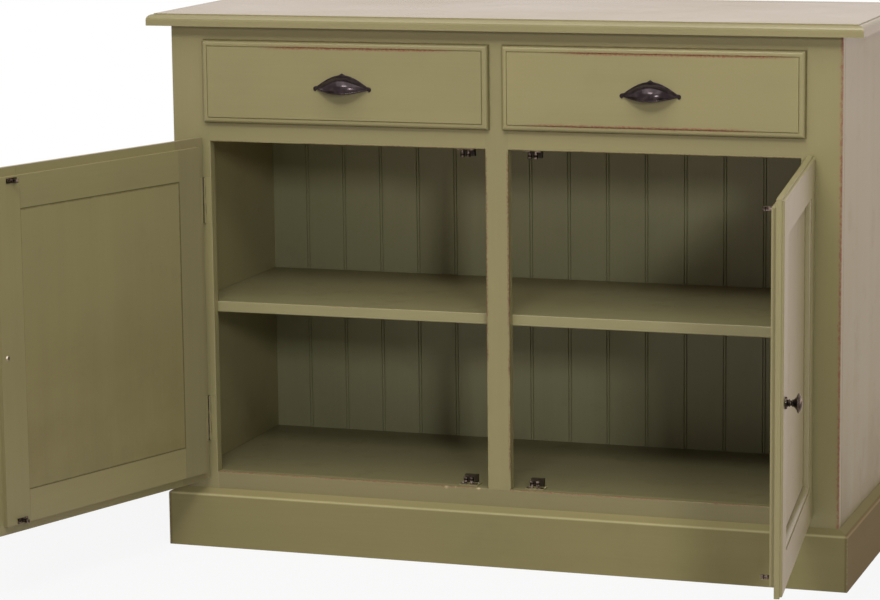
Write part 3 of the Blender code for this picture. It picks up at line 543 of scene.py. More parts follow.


# Board: brush direction, free edges, how much is rubbed, then what differs
# A board's shade below 1 is painted shade, and above 1 painted light
paintedBoards = {
    "top_board": (
        "xy", "xXyz", 0.15, {"seed": 1.3, "gloss": 0.215, "streak": 0.03, "bump": 0.015, "smudge": 0.1}),
    # Painted shade: both side panels darker towards the bottom, and the left one a little darker all over for
    # the shade inside the left bay
    "side_panel_left": ("z", "", 0.0, {
        "seed": 2.1, "smudge": 0.5, "streak": 0.12, "bump": 0.05, "footShade": (0.12, 0.30, 0.5),
        "shade": (0.94, 0.95, 0.97)}),
    "side_panel_right": (
        "z", "", 0.0, {"seed": 3.7, "smudge": 0.5, "streak": 0.12, "bump": 0.05, "footShade": (0.12, 0.30, 0.38)}),
    # Painted shade: the left stile a little darker beside the open door. On the stiles and the upper rails,
    # painted shade lines run round the drawers
    "frame_stile_left": ("z", "xXy", 0.2, {"seed": 4.2, "shade": (0.97, 0.97, 0.98), "creases": drawerEdges}),
    "frame_stile_right": (
        "z", "Xy", 1.25, {"seed": 5.9, "width": 0.0058, "rise": (0.42, 0.56, 0.78), "creases": drawerEdges}),
    # Centre stile and middle rail: the rubbed undercoat darker, partly wear and partly painted shade along
    # the openings' edges
    "frame_stile_centre": ("z", "xXy", 1.15, {
        "seed": 6.4, "width": 0.0042, "rise": (0.36, 0.50, 0.5), "until": 0.687,
        "undercoat": oliveLook["shadedUndercoat"], "creases": drawerEdges}),
    "frame_rail_top": ("x", "yz", 0.1, {"seed": 7.7, "creases": drawerEdges}),
    "frame_rail_middle": ("x", "yz", 0.7, {
        "seed": 8.3, "width": 0.0024, "undercoat": oliveLook["shadedUndercoat"], "creases": drawerEdges}),
    # Painted shade: the bottom rail darker
    "frame_rail_bottom": ("x", "yZ", 0.75, {
        "seed": 9.1, "width": 0.0022, "shade": (0.86, 0.86, 0.88), "chips": (
            ((-0.092, -0.2135, 0.1270), 0.0045), ((-0.036, -0.2130, 0.1272), 0.0045),
            ((-0.076, -0.2125, 0.1275), 0.003), ((0.090, -0.2120, 0.1275), 0.003))}),
    # Painted shade: the bottom board and the shelf darker and cooler inside the bays, and a painted highlight
    # on the shelf's front edge
    "bottom_board": ("x", "", 0.0, {"seed": 10.6, "smudge": 0.7, "shade": (0.645, 0.65, 0.70)}),
    "shelf": ("x", "yzZ", 0.25, {
        "seed": 11.2, "smudge": 0.7, "shade": (0.82, 0.84, 0.90), "front": (0.001, 1.28)}),
    # Plinth: painted highlights on its rubbed edges and along its nose, and painted shade, a little darker
    # all over and browner on its ends
    "plinth_frame": ("xy", "xXy", 0.9, {
        "seed": 12.8, "width": 0.0022, "undercoat": oliveLook["pale"], "gloss": 0.72,
        "shine": 0.15, "shade": (0.96, 0.94, 0.92), "pale": (0.0897, 0.0030), "flank": 0.006}),
    "drawer_front_left": ("x", "yzZ", 0.85, {
        "seed": 13.4, "inset": 0.0096, "width": 0.0036, "patch": 4.0, "spans": ((0.18, 0.92), (1.0, 1.0))}),
    # Painted light: the right drawer front a little paler
    "drawer_front_right": ("x", "yzZ", 0.80, {
        "seed": 14.9, "inset": 0.0096, "width": 0.0036, "patch": 4.0, "spans": ((0.14, 1.0), (0.04, 0.88)),
        "shade": (1.055, 1.05, 1.045)}),
}
doorBoards = {
    "stile_hinge": ("z", "xXyzZ", 0.2, {"seed": 20.3}),
    "stile_free": ("z", "xXyzZ", 0.3, {"seed": 21.5}),
    "rail_top": ("x", "yZ", 0.2, {"seed": 22.2}),
    "rail_bottom": ("x", "yz", 0.2, {"seed": 23.8}),
    "panel": ("z", "", 0.0, {"seed": 24.1, "smudge": 0.7}),
}
rightSeed = 5.5  # added to the seeds of the right door's boards
# Painted shade: the left door's paint a little darker; the right door differs only in gloss
doorShadeAndGloss = {  # what differs from door to door
    "left": {"shade": (0.95, 0.945, 0.96)},
    "right": {"gloss": 0.35, "shine": 0.62},
}
# Painted shade on single boards: the left door's hinge stile darker, and its panel darker towards the bottom
boardShade = {  # and on single boards
    "left_door_panel": {"footShade": (0.16, 0.62, 0.36)},
    "left_door_stile_hinge": {"shade": (0.87, 0.85, 0.93)},
}
for name, (along, ends, rub, more) in paintedBoards.items():
    dress(name, paintMaterial(name, along, ends, rub, **more))
for side in doors:
    for board, (along, ends, rub, more) in doorBoards.items():
        name = f"{side}_door_{board}"
        # a stile's inner edge meets the rails, so only its outer edge is free
        highOuter = (side == "left") == (board == "stile_free")
        if board.startswith("stile"):
            ends = ends.replace("x" if highOuter else "X", "")
        seed = more["seed"] + (0.0 if side == "left" else rightSeed)
        more = dict(more, seed=seed, **doorShadeAndGloss[side])
        if board == "panel":
            more.update(creases=[panelEdge(side)], creaseWidth=oliveLook["panelShadeLine"])
        more.update(boardShade.get(name, {}))
        dress(name, paintMaterial(name, along, ends, rub, **more))
print("paint on", len(paintedBoards) + 2 * len(doorBoards), "boards")


woodLook = {
    "pale": (0.62, 0.46, 0.27, 1.0), "dark": (0.40, 0.25, 0.115, 1.0), "bump": 0.25, "bumpDepth": 0.0004,
}
woodAlong = {"x": (9.0, 120.0, 120.0), "y": (120.0, 9.0, 120.0), "z": (120.0, 120.0, 9.0)}


def softwood(point, along, seed):
    return placeGroup(woodGroup, {
        "Point": point, "Stretch": woodAlong[along], "Seed": seed,
        "Pale": woodLook["pale"], "Dark": woodLook["dark"],
    })


def woodMaterial(name, along, seed):
    made, shader, point = newMaterial(name + "_wood")
    grain = softwood(point, along, seed)
    finishWith(shader, grain, woodLook["bump"], woodLook["bumpDepth"])
    return made


woodBoards = {  # direction of the grain, seed
    "drawer_deck": ("x", 1.1), "drawer_divider": ("y", 2.4), "plinth_bearer": ("y", 3.2),
    "drawer_box_left": ("y", 4.6), "drawer_box_right": ("y", 5.3),
    "drawer_bottom_left": ("y", 6.5), "drawer_bottom_right": ("y", 7.9),
}
for name, (along, seed) in woodBoards.items():
    dress(name, woodMaterial(name, along, seed))


# An even coat of the same paint, without wear
def plainCoat(point, paint, seed, smudge, streak, gloss):
    return placeGroup(paintGroup, {
        "Point": point, "Stretch": brushAlong["z"], "Seed": seed, "Paint": paint,
        "Undercoat": oliveLook["undercoat"], "Rub": 0.0, "PaintedShade": 0.0,
        "Smudge": smudge, "Streak": streak, "Gloss": gloss,
    })


# The back boards are painted inside and bare on the side that faces the wall
backLook = {
    "paintSeed": 30.7, "woodSeed": 8.8, "smudge": 0.7, "streak": 0.1, "gloss": 0.46,
    "paintEnds": 0.002, "woodStarts": 0.001, "bump": 0.22, "bumpDepth": 0.0005,
}


def backMaterial(name):
    made, shader, point = newMaterial(name + "_paint_and_wood")
    back = ownBox(name)[1].y
    # Painted shade: the back boards' paint made cooler, for the shade inside the bays
    paint = shadedPaint(oliveLook["inside"])
    coat = plainCoat(
        point, paint, backLook["paintSeed"], backLook["smudge"], backLook["streak"], backLook["gloss"])
    grain = softwood(point, "z", backLook["woodSeed"])
    bare = ramp(axes(point)["Y"], back - backLook["paintEnds"], back - backLook["woodStarts"])
    finishWith(shader, blend(bare, coat, grain), backLook["bump"], backLook["bumpDepth"])
    return made


dress("back_boards", backMaterial("back_boards"))
print("bare wood on", len(woodBoards) + 1, "boards")


bronzeLook = {
    "dark": (0.017, 0.012, 0.014, 1.0), "bright": (0.060, 0.046, 0.048, 1.0), "edge": (0.85, 0.78, 0.80, 1.0),
    "scale": 90.0, "gloss": 0.16, "polish": 0.6, "metallic": 0.65, "bump": 0.03,
}
rubbedLook = {
    "dark": (0.018, 0.014, 0.011, 1.0), "bright": (0.11, 0.088, 0.068, 1.0), "edge": (0.7, 0.64, 0.58, 1.0),
    "scale": 130.0, "gloss": 0.15, "polish": 0.8, "metallic": 0.7, "bump": 0.03,
}
zincLook = {
    "dark": (0.024, 0.018, 0.010, 1.0), "bright": (0.070, 0.054, 0.032, 1.0), "edge": (0.30, 0.26, 0.20, 1.0),
    "scale": 160.0, "gloss": 0.42, "polish": 0.7, "metallic": 0.5, "bump": 0.1,
}
rollerLook = {
    "dark": (0.040, 0.032, 0.027, 1.0), "bright": (0.44, 0.37, 0.32, 1.0),
    "scale": 220.0, "gloss": 0.14, "polish": 0.8, "metallic": 0.95, "bump": 0.06,
    # the painted shade band: its height over the seat, its width and its colour
    "middle": 0.010, "shadeBand": 0.0022, "grimeAndShade": (0.012, 0.010, 0.007, 1.0),
}
screwLook = {
    "dark": (0.30, 0.27, 0.21, 1.0), "bright": (0.66, 0.60, 0.46, 1.0),
    "scale": 260.0, "gloss": 0.3, "polish": 0.8, "metallic": 0.95, "bump": 0.06,
}
nailLook = {
    "dark": (0.10, 0.085, 0.07, 1.0), "bright": (0.26, 0.23, 0.2, 1.0),
    "scale": 300.0, "gloss": 0.45, "polish": 0.6, "metallic": 0.9, "bump": 0.1,
}
metalDepth = 0.0002  # of the bump on bare metal


def patina(point, look):
    return placeGroup(metalGroup, {
        "Point": point, "Dark": look["dark"], "Bright": look["bright"],
        "Scale": look["scale"], "Gloss": look["gloss"], "Polish": look["polish"],
    })


def metalMaterial(name, look):
    made, shader, point = newMaterial(name)
    feed(shader.inputs["Metallic"], look["metallic"])
    feed(shader.inputs["Specular Tint"], look.get("edge", plainWhite))
    finishWith(shader, patina(point, look), look["bump"], metalDepth)
    return made


darkBronze = metalMaterial("dark_bronze", bronzeLook)
rubbedBronze = metalMaterial("rubbed_bronze", rubbedLook)
darkZinc = metalMaterial("dark_zinc", zincLook)
brightRoller = metalMaterial("bright_roller", rollerLook)
brightScrew = metalMaterial("bright_screw", screwLook)
dullNail = metalMaterial("dull_nail", nailLook)
levels = ("upper", "lower")
# Lower catches stand on this floor, and upper ones hang from this head
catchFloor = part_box("left_lower_catch_bracket")[0].z
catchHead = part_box("left_upper_catch_bracket")[1].z


# Rollers carry a band of painted shade halfway up, so that their highlights show as spots above and below it
def rollerMaterial():
    made, shader, point = newMaterial("shade_banded_roller")
    feed(shader.inputs["Metallic"], rollerLook["metallic"])
    height = axes(point)["Z"]
    fromFloor = unsigned(less(height, catchFloor + rollerLook["middle"]))
    fromHead = unsigned(less(height, catchHead - rollerLook["middle"]))
    away = maths("MINIMUM", fromFloor, fromHead)
    shadeBand = ramp(away, rollerLook["shadeBand"] / 3, rollerLook["shadeBand"], 1.0, 0.0)
    worn = patina(point, rollerLook)
    banded = {"Color": tint(shadeBand, worn["Color"], rollerLook["grimeAndShade"])}
    banded.update({part: worn[part] for part in ("Roughness", "Height")})
    finishWith(shader, banded, rollerLook["bump"], metalDepth)
    return made


shadeBandedRoller = rollerMaterial()
for name in nodes:
    if "_catch_roller_" in name:
        dress(name, shadeBandedRoller)
    elif name.endswith("_strike"):
        dress(name, brightRoller)


# Hinges and the plates of the catches are painted over with the case
overpaint = {"gloss": 0.42, "smudge": 0.5, "bump": 0.2, "bumpDepth": 0.0004}


# Paint over metal where the mask is 0, bare metal where it is 1
def halfPainted(shader, point, bare, look, seed):
    coat = plainCoat(point, oliveLook["paint"], seed, overpaint["smudge"], 0.0, overpaint["gloss"])
    mixed = blend(bare, coat, patina(point, look))
    feed(shader.inputs["Metallic"], times(bare, look["metallic"]))
    finishWith(shader, mixed, overpaint["bump"], overpaint["bumpDepth"])


# The housings of the catches are dark zinc
catchLook = {"painted": 0.0018, "edge": 0.0002, "seed": 43.9}


def catchMaterial():
    made, shader, point = newMaterial("part_painted_catch")
    height = axes(point)["Z"]
    start, end = catchFloor + catchLook["painted"], catchHead - catchLook["painted"]
    above = ramp(height, start, start + catchLook["edge"])
    below = ramp(height, end - catchLook["edge"], end, 1.0, 0.0)
    halfPainted(shader, point, times(above, below), zincLook, catchLook["seed"])
    return made


# The paint is worn off the turning knuckles here and there
hingeLook = {"knuckle": 0.0034, "edge": 0.0004, "strip": 0.0031, "wornScale": 55.0, "seed": 41.3}


def hingeMaterial(side):
    made, shader, point = newMaterial(side + "_painted_hinge")
    hinge = doors[side][0]
    flat = vectors("MULTIPLY", vectors("SUBTRACT", point, hinge), (1.0, 1.0, 0.0))
    knuckle, strip = hingeLook["knuckle"], hingeLook["strip"]
    bare = ramp(farFrom(flat), knuckle, knuckle + hingeLook["edge"], 1.0, 0.0)
    across = unsigned(axes(flat)["X"])
    bare = times(bare, ramp(across, strip / 3, strip, 1.0, 0.0))
    patches = ramp(cloudy(point, hingeLook["wornScale"]), 0.3, 0.5, 0.6, 1.0)
    halfPainted(shader, point, times(bare, patches), bronzeLook, hingeLook["seed"])
    return made


catchPaint = catchMaterial()
for side in doors:
    hingePaint = hingeMaterial(side)
    for level in levels:
        dress(f"{side}_{level}_catch_bracket", catchPaint)
        for leaf in ("frame_leaf", "door_leaf"):
            dress(f"{side}_{level}_hinge_{leaf}", hingePaint)
print("metal on hinges, catches and strikes")


weld = 0.000005  # points that are closer than this become one


def newPiece(name, bm, material, smoothAngle=None):
    mesh = bpy.data.meshes.new(name)
    bmesh.ops.remove_doubles(bm, verts=bm.verts[:], dist=weld)
    bmesh.ops.recalc_face_normals(bm, faces=bm.faces[:])
    bm.to_mesh(mesh)
    bm.free()
    mesh.materials.append(material)
    if smoothAngle:
        mesh.shade_smooth()
        mesh.set_sharp_from_angle(angle=math.radians(smoothAngle))
    made = bpy.data.objects.new(name, mesh)
    scene.collection.objects.link(made)
    return made


# Bands of faces from each ring of points to the next
def joinRings(bm, rings):
    for first, second in zip(rings, rings[1:]):
        for k in range(len(first)):
            n = (k + 1) % len(first)
            bm.faces.new((first[k], first[n], second[n], second[k]))


# Cup pull: a thin bell-shaped shell with a rolled lip, on a flat flange with round ears and a small peak
pullLook = {
    "halfWidth": 0.046, "crown": 0.0205, "depth": 0.023, "mouth": 0.006, "wall": 0.0016, "weld": 0.00001,
    "lip": 0.0012, "lipReach": 0.97, "rim": 0.0025, "rimReach": 0.94,
    "ear": 0.004, "peak": 0.0028, "peakHalf": 0.0055, "ease": 0.0005, "easeSteps": 3,
    "across": 72, "round": 26, "lipSides": 12, "earSteps": 14, "archSteps": 64, "smooth": 40,
}


# Points over the shell from the mouth's edge up to the back, at a place across that runs from -1 to 1
def shellRow(across, wall):
    swell = math.cos(math.pi / 2 * across)
    crown = (pullLook["crown"] - wall) * swell
    start = -math.asin(pullLook["mouth"] / pullLook["crown"])
    row = []
    for i in range(pullLook["round"] + 1):
        turn = start + (math.pi / 2 - start) * i / pullLook["round"]
        out = (pullLook["depth"] - wall) * swell * math.cos(turn)
        row.append(Vector(((pullLook["halfWidth"] - wall) * across, -out, crown * math.sin(turn))))
    return row


# Places across the shell, closer together towards its ends
def acrossShell():
    steps = pullLook["across"]
    return [math.sin(math.pi * (i / steps - 0.5)) for i in range(steps + 1)]


def shellFaces(bm, middle):
    outer, inner = [
        [[bm.verts.new(middle + p) for p in shellRow(place, wall)] for place in acrossShell()]
        for wall in (0.0, pullLook["wall"])
    ]
    last = pullLook["round"]
    for i in range(pullLook["across"]):
        for k in range(last):
            bm.faces.new((outer[i][k], outer[i][k + 1], outer[i + 1][k + 1], outer[i + 1][k]))
            bm.faces.new((inner[i][k], inner[i + 1][k], inner[i + 1][k + 1], inner[i][k + 1]))
        bm.faces.new((outer[i][0], outer[i + 1][0], inner[i + 1][0], inner[i][0]))
        bm.faces.new((outer[i][last], inner[i][last], inner[i + 1][last], outer[i + 1][last]))
    bmesh.ops.remove_doubles(bm, verts=bm.verts[:], dist=pullLook["weld"])
    bmesh.ops.dissolve_degenerate(bm, edges=bm.edges[:], dist=weld)


# The lip is rolled into a bead that follows the mouth from side to side
def lipFaces(bm, middle):
    wall, lip, sides = pullLook["wall"], pullLook["lip"], pullLook["lipSides"]
    places = [place for place in acrossShell() if abs(place) < pullLook["lipReach"]]
    path = [(shellRow(place, 0.0)[0] + shellRow(place, wall)[0]) / 2 for place in places]
    up = Vector((0.0, 0.0, 1.0))
    turns = [2 * math.pi * k / sides for k in range(sides)]
    rings = []
    for i, point in enumerate(path):
        along = (path[min(i + 1, len(path) - 1)] - path[max(i - 1, 0)]).normalized()
        across = along.cross(up).normalized()
        ring = [point + lip * (across * math.cos(turn) + up * math.sin(turn)) for turn in turns]
        rings.append([bm.verts.new(middle + p) for p in ring])
    joinRings(bm, rings)
    bm.faces.new(rings[0])
    bm.faces.new(list(reversed(rings[-1])))


def flangeFaces(bm, middle):
    half, ear, wall, crown = [pullLook[key] for key in ("halfWidth", "ear", "wall", "crown")]
    earSteps, archSteps = pullLook["earSteps"], pullLook["archSteps"]
    turns = [math.pi * (i / earSteps - 0.5) for i in range(earSteps + 1)]
    rightEar = [(half + ear * math.cos(turn), ear * math.sin(turn)) for turn in turns]
    leftEar = [(-x, z) for x, z in reversed(rightEar)]
    arch, inside = [], []
    for i in range(archSteps + 1):
        share = pullLook["rimReach"] * (1 - 2 * i / archSteps)
        swell = math.cos(math.pi / 2 * share)
        peak = pullLook["peak"] * max(0.0, 1.0 - abs(half * share) / pullLook["peakHalf"])
        arch.append((half * share, crown * swell + pullLook["rim"] + peak))
        inside.insert(0, ((half - wall) * share, (crown - wall) * swell))
    outline = rightEar + arch + leftEar + inside
    back = bm.faces.new([bm.verts.new(middle + Vector((x, 0.0, z))) for x, z in outline])
    front = bmesh.ops.extrude_face_region(bm, geom=[back], use_keep_orig=True)["geom"]
    raised = [part for part in front if isinstance(part, bmesh.types.BMVert)]
    bmesh.ops.translate(bm, verts=raised, vec=(0.0, -wall, 0.0))
    rim = [part for part in front if isinstance(part, bmesh.types.BMEdge)]
    bmesh.ops.bevel(
        bm, geom=rim, offset=pullLook["ease"], segments=pullLook["easeSteps"], profile=0.5, affect="EDGES")


def cupPull(side):
    low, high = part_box("cup_pull_" + side)
    middle = Vector(((low.x + high.x) / 2, high.y, low.z + pullLook["mouth"]))
    bm = bmesh.new()
    shellFaces(bm, middle)
    lipFaces(bm, middle)
    flangeFaces(bm, middle)
    made = newPiece("cup_pull_shell_" + side, bm, darkBronze, pullLook["smooth"])
    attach(made, side + "_drawer")
    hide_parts("cup_pull_" + side)


for side in doors:
    cupPull(side)
print("cup pulls made")


# Door knob: turned, with a foot disc, two fine beads on the neck, a trumpet and a low dome
knobLook = {
    "steps": 56, "smooth": 50,
    "profile": [  # radius and distance from the door, in metres
        (0.0090, 0.0), (0.0090, 0.0016), (0.0086, 0.0023), (0.0078, 0.0027), (0.0066, 0.0029),
        (0.0058, 0.0034), (0.0050, 0.0040), (0.0047, 0.0046), (0.0052, 0.0049), (0.0056, 0.0054),
        (0.0056, 0.0060), (0.0052, 0.0065), (0.0044, 0.0068), (0.0040, 0.0074), (0.0039, 0.0082),
        (0.0040, 0.0090), (0.0044, 0.0096), (0.0051, 0.0098), (0.0055, 0.0103), (0.0054, 0.0109),
        (0.0050, 0.0113), (0.0054, 0.0120), (0.0064, 0.0132), (0.0082, 0.0148), (0.0104, 0.0162),
        (0.0126, 0.0172), (0.0139, 0.0177), (0.0145, 0.0183), (0.0145, 0.0190), (0.0140, 0.0197),
        (0.0126, 0.0209), (0.0106, 0.0222), (0.0082, 0.0233), (0.0056, 0.0240), (0.0028, 0.0244),
        (0.0, 0.0245),
    ],
}


def doorKnob(side):
    low, high = ownBox(side + "_door_knob")
    foot = Vector(((low.x + high.x) / 2, high.y, (low.z + high.z) / 2))
    turns = [2 * math.pi * i / knobLook["steps"] for i in range(knobLook["steps"])]
    bm = bmesh.new()
    rings = []
    for radius, out in knobLook["profile"]:
        ring = [foot + Vector((radius * math.cos(turn), -out, radius * math.sin(turn))) for turn in turns]
        rings.append([bm.verts.new(onDoor(side, shut)) for shut in ring])
    joinRings(bm, rings)
    bm.faces.new(rings[0])
    made = newPiece("turned_knob_" + side, bm, rubbedBronze, knobLook["smooth"])
    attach(made, side + "_door")
    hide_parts(side + "_door_knob")


for side in doors:
    doorKnob(side)
print("knobs made")


# Paint that fills the joints of the face frame, so that its front looks like one surface
fillerLook = {"ease": 0.0012, "deep": 0.0032, "sunk": 0.00002, "gap": 0.0003}


# A strip flush with the frame's front over a joint that runs along x or z at the place given
def fillerStrip(bm, along, place, start, end):
    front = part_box("frame_stile_left")[0].y + fillerLook["sunk"]
    gap, back = fillerLook["gap"], front + fillerLook["deep"]
    half = fillerLook["ease"] + gap / 2
    wide = ((-half, front), (half, front), (gap, back), (-gap, back))
    ends = []
    for far in (start, end):
        if along == "z":
            corners = [(place + across, y, far) for across, y in wide]
        else:
            corners = [(far, y, place + across) for across, y in wide]
        ends.append([bm.verts.new(corner) for corner in corners])
    joinRings(bm, ends)
    bm.faces.new(ends[0])
    bm.faces.new(list(reversed(ends[1])))


def frameFiller():
    bm = bmesh.new()
    ease, half = fillerLook["ease"], fillerLook["gap"] / 2
    centreLow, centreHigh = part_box("frame_stile_centre")
    for board in ("top", "middle", "bottom"):
        low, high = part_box("frame_rail_" + board)
        joints = [low.x - half, high.x + half]
        if board == "middle":
            joints += [centreLow.x - half, centreHigh.x + half]
        for x in joints:
            fillerStrip(bm, "z", x, low.z + ease, high.z - ease)
    for z in (centreLow.z - half, centreHigh.z + half):
        fillerStrip(bm, "x", z, centreLow.x + ease, centreHigh.x - ease)
    made = newPiece("frame_joint_filler", bm, nodes["frame_rail_top"].data.materials[0])
    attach(made, "case")


frameFiller()
print("joints of the frame filled")


# Screw and nail heads: a tree that sets one head on each point, facing the way that the point says
headLook = {"top": 0.62, "crossReach": 1.1, "spinFrom": 0.3, "spinStep": 0.9}
headInputs = {
    "Points": "Geometry", "Head Radius": "Float", "Head Rise": "Float", "Cross Width": "Float",
    "Cross Depth": "Float", "Sides": "Int", "Finish": "Material",
}
headSizes = {  # in the order of these inputs, from the radius to the sides
    "screw": (0.0026, 0.0007, 0.0008, 0.0005, 20),
    "knobScrew": (0.0042, 0.0014, 0.0011, 0.0010, 24),
    "catchScrew": (0.0021, 0.0007, 0.0007, 0.0005, 20),
    "nail": (0.0022, 0.0005, 0.0003, 0.0001, 10),
}


def makeHeadTree():
    tree = bpy.data.node_groups.new("headsOnPoints", "GeometryNodeTree")
    for label, kind in headInputs.items():
        tree.interface.new_socket(name=label, in_out="INPUT", socket_type="NodeSocket" + kind)
    tree.interface.new_socket(name="Heads", in_out="OUTPUT", socket_type="NodeSocketGeometry")
    given = tree.nodes.new("NodeGroupInput").outputs
    end = tree.nodes.new("NodeGroupOutput")
    radius, rise, width = given["Head Radius"], given["Head Rise"], given["Cross Width"]
    cone = put(tree, "GeometryNodeMeshCone", {
        "Vertices": given["Sides"], "Side Segments": 1, "Depth": rise,
        "Radius Bottom": radius, "Radius Top": times(radius, headLook["top"]),
    }, fill_type="NGON")
    cut = put(tree, "GeometryNodeMeshBoolean", {"Mesh 1": cone.outputs["Mesh"]}, operation="DIFFERENCE")
    across = times(radius, headLook["crossReach"])
    deep = times(given["Cross Depth"], 2.0)  # half of each bar stands clear of the head
    top = put(tree, "ShaderNodeCombineXYZ", {"Z": rise}).outputs[0]
    for x, y in ((width, across), (across, width)):
        size = put(tree, "ShaderNodeCombineXYZ", {"X": x, "Y": y, "Z": deep}).outputs[0]
        bar = put(tree, "GeometryNodeMeshCube", {"Size": size}).outputs["Mesh"]
        bar = put(tree, "GeometryNodeTransform", {"Geometry": bar, "Translation": top}).outputs["Geometry"]
        tree.links.new(bar, cut.inputs["Mesh 2"])
    way = put(tree, "GeometryNodeInputNamedAttribute", {"Name": "facing"}, data_type="FLOAT_VECTOR")
    spin = put(tree, "GeometryNodeInputNamedAttribute", {"Name": "spin"}, data_type="FLOAT")
    own = put(tree, "FunctionNodeAxisAngleToRotation", {
        "Axis": (0.0, 0.0, 1.0), "Angle": spin.outputs["Attribute"],
    })
    faced = put(tree, "FunctionNodeAlignRotationToVector", {
        "Rotation": own.outputs["Rotation"], "Vector": way.outputs["Attribute"],
    }, axis="Z")
    heads = put(tree, "GeometryNodeInstanceOnPoints", {
        "Points": given["Points"], "Instance": cut.outputs["Mesh"], "Rotation": faced.outputs["Rotation"],
    }).outputs["Instances"]
    real = put(tree, "GeometryNodeRealizeInstances", {"Geometry": heads}).outputs["Geometry"]
    done = put(tree, "GeometryNodeSetMaterial", {"Geometry": real, "Material": given["Finish"]})
    feed(end.inputs["Heads"], done.outputs["Geometry"])
    return tree


headTree = makeHeadTree()


# places: (point, facing) pairs, each point on the face that carries the head
def headsOn(name, places, kind, material, body):
    points, ways = zip(*places)
    mesh = bpy.data.meshes.new(name + "_points")
    mesh.from_pydata(points, [], [])
    mesh.attributes.new("facing", "FLOAT_VECTOR", "POINT")
    mesh.attributes.new("spin", "FLOAT", "POINT")
    # looked up only now, because adding one attribute moves the other
    facing, spin = mesh.attributes["facing"], mesh.attributes["spin"]
    for i, way in enumerate(ways):
        facing.data[i].vector = way
        # each cross was driven home at its own angle
        spin.data[i].value = headLook["spinStep"] * i + headLook["spinFrom"]
    holder = bpy.data.objects.new(name, mesh)
    scene.collection.objects.link(holder)
    modifier = holder.modifiers.new("heads", "NODES")
    modifier.node_group = headTree
    ids = {item.name: item.identifier for item in headTree.interface.items_tree if item.in_out == "INPUT"}
    for label, value in zip(list(headInputs)[1:], headSizes[kind] + (material,)):
        modifier[ids[label]] = value
    bpy.context.view_layer.update()
    plain = bpy.data.meshes.new_from_object(holder.evaluated_get(bpy.context.evaluated_depsgraph_get()))
    holder.modifiers.remove(modifier)
    holder.data = plain
    plain.name = name
    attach(holder, body)


screwPlaces = {
    "catchSpread": 0.0136, "catchBack": 0.017, "catchPlate": 0.0016,
    "strikeSpread": 0.0072, "strikePlate": 0.0015, "pullSpread": 0.032,
}


# Two screws in the plate of each catch, behind its rollers
def catchScrews():
    places = []
    for side in doors:
        for level in levels:
            low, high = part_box(f"{side}_{level}_catch_bracket")
            up, seat = (1.0, low.z) if level == "lower" else (-1.0, high.z)
            plate = seat + up * screwPlaces["catchPlate"]
            for way in (-1.0, 1.0):
                x = (low.x + high.x) / 2 + way * screwPlaces["catchSpread"]
                places.append(((x, low.y + screwPlaces["catchBack"], plate), (0.0, 0.0, up)))
    headsOn("catch_screws", places, "catchScrew", brightScrew, "case")


# On each door: two screws in each strike, and the screw that holds the knob
def doorScrews(side):
    inward = Matrix.Rotation(doors[side][1], 3, "Z") @ Vector((0.0, 1.0, 0.0))
    places = []
    for level in levels:
        low, high = ownBox(f"{side}_{level}_strike")
        for way in (-1.0, 1.0):
            x = (low.x + high.x) / 2 + way * screwPlaces["strikeSpread"]
            shut = (x, low.y + screwPlaces["strikePlate"], (low.z + high.z) / 2)
            places.append((onDoor(side, shut), inward))
    headsOn(side + "_strike_screws", places, "screw", darkZinc, side + "_door")
    low, high = ownBox(side + "_door_knob")
    back = ownBox(side + "_door_stile_free")[1].y
    places = [(onDoor(side, ((low.x + high.x) / 2, back, (low.z + high.z) / 2)), inward)]
    headsOn(side + "_knob_screw", places, "knobScrew", brightScrew, side + "_door")


# Inside each drawer, the two screws that hold the cup pull
def drawerScrews(side):
    low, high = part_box("cup_pull_" + side)
    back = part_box("drawer_front_" + side)[1].y
    places = []
    for way in (-1.0, 1.0):
        x = (low.x + high.x) / 2 + way * screwPlaces["pullSpread"]
        places.append(((x, back, (low.z + high.z) / 2), (0.0, 1.0, 0.0)))
    headsOn(side + "_pull_screws", places, "knobScrew", brightScrew, side + "_drawer")


# Nails that hold the back boards to the shelf, the deck, the bottom and the top
nailRows = {
    "pitch": 0.0691, "fromJoint": 0.018, "shift": 0.010, "joints": 8, "clear": 0.02,
    "heights": (0.1185, 0.407, 0.719, 0.868),
}


def backNails():
    low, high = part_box("back_boards")
    places = []
    for joint in range(-nailRows["joints"], nailRows["joints"]):
        for way in (-1.0, 1.0):
            x = nailRows["shift"] + (joint + 0.5 + way * 0.5) * nailRows["pitch"]
            x -= way * nailRows["fromJoint"]
            if low.x + nailRows["clear"] < x < high.x - nailRows["clear"]:
                places += [((x, high.y, height), (0.0, 1.0, 0.0)) for height in nailRows["heights"]]
    headsOn("back_nails", places, "nail", dullNail, "case")


catchScrews()
for side in doors:
    doorScrews(side)
    drawerScrews(side)
backNails()
print("screws and nails set")


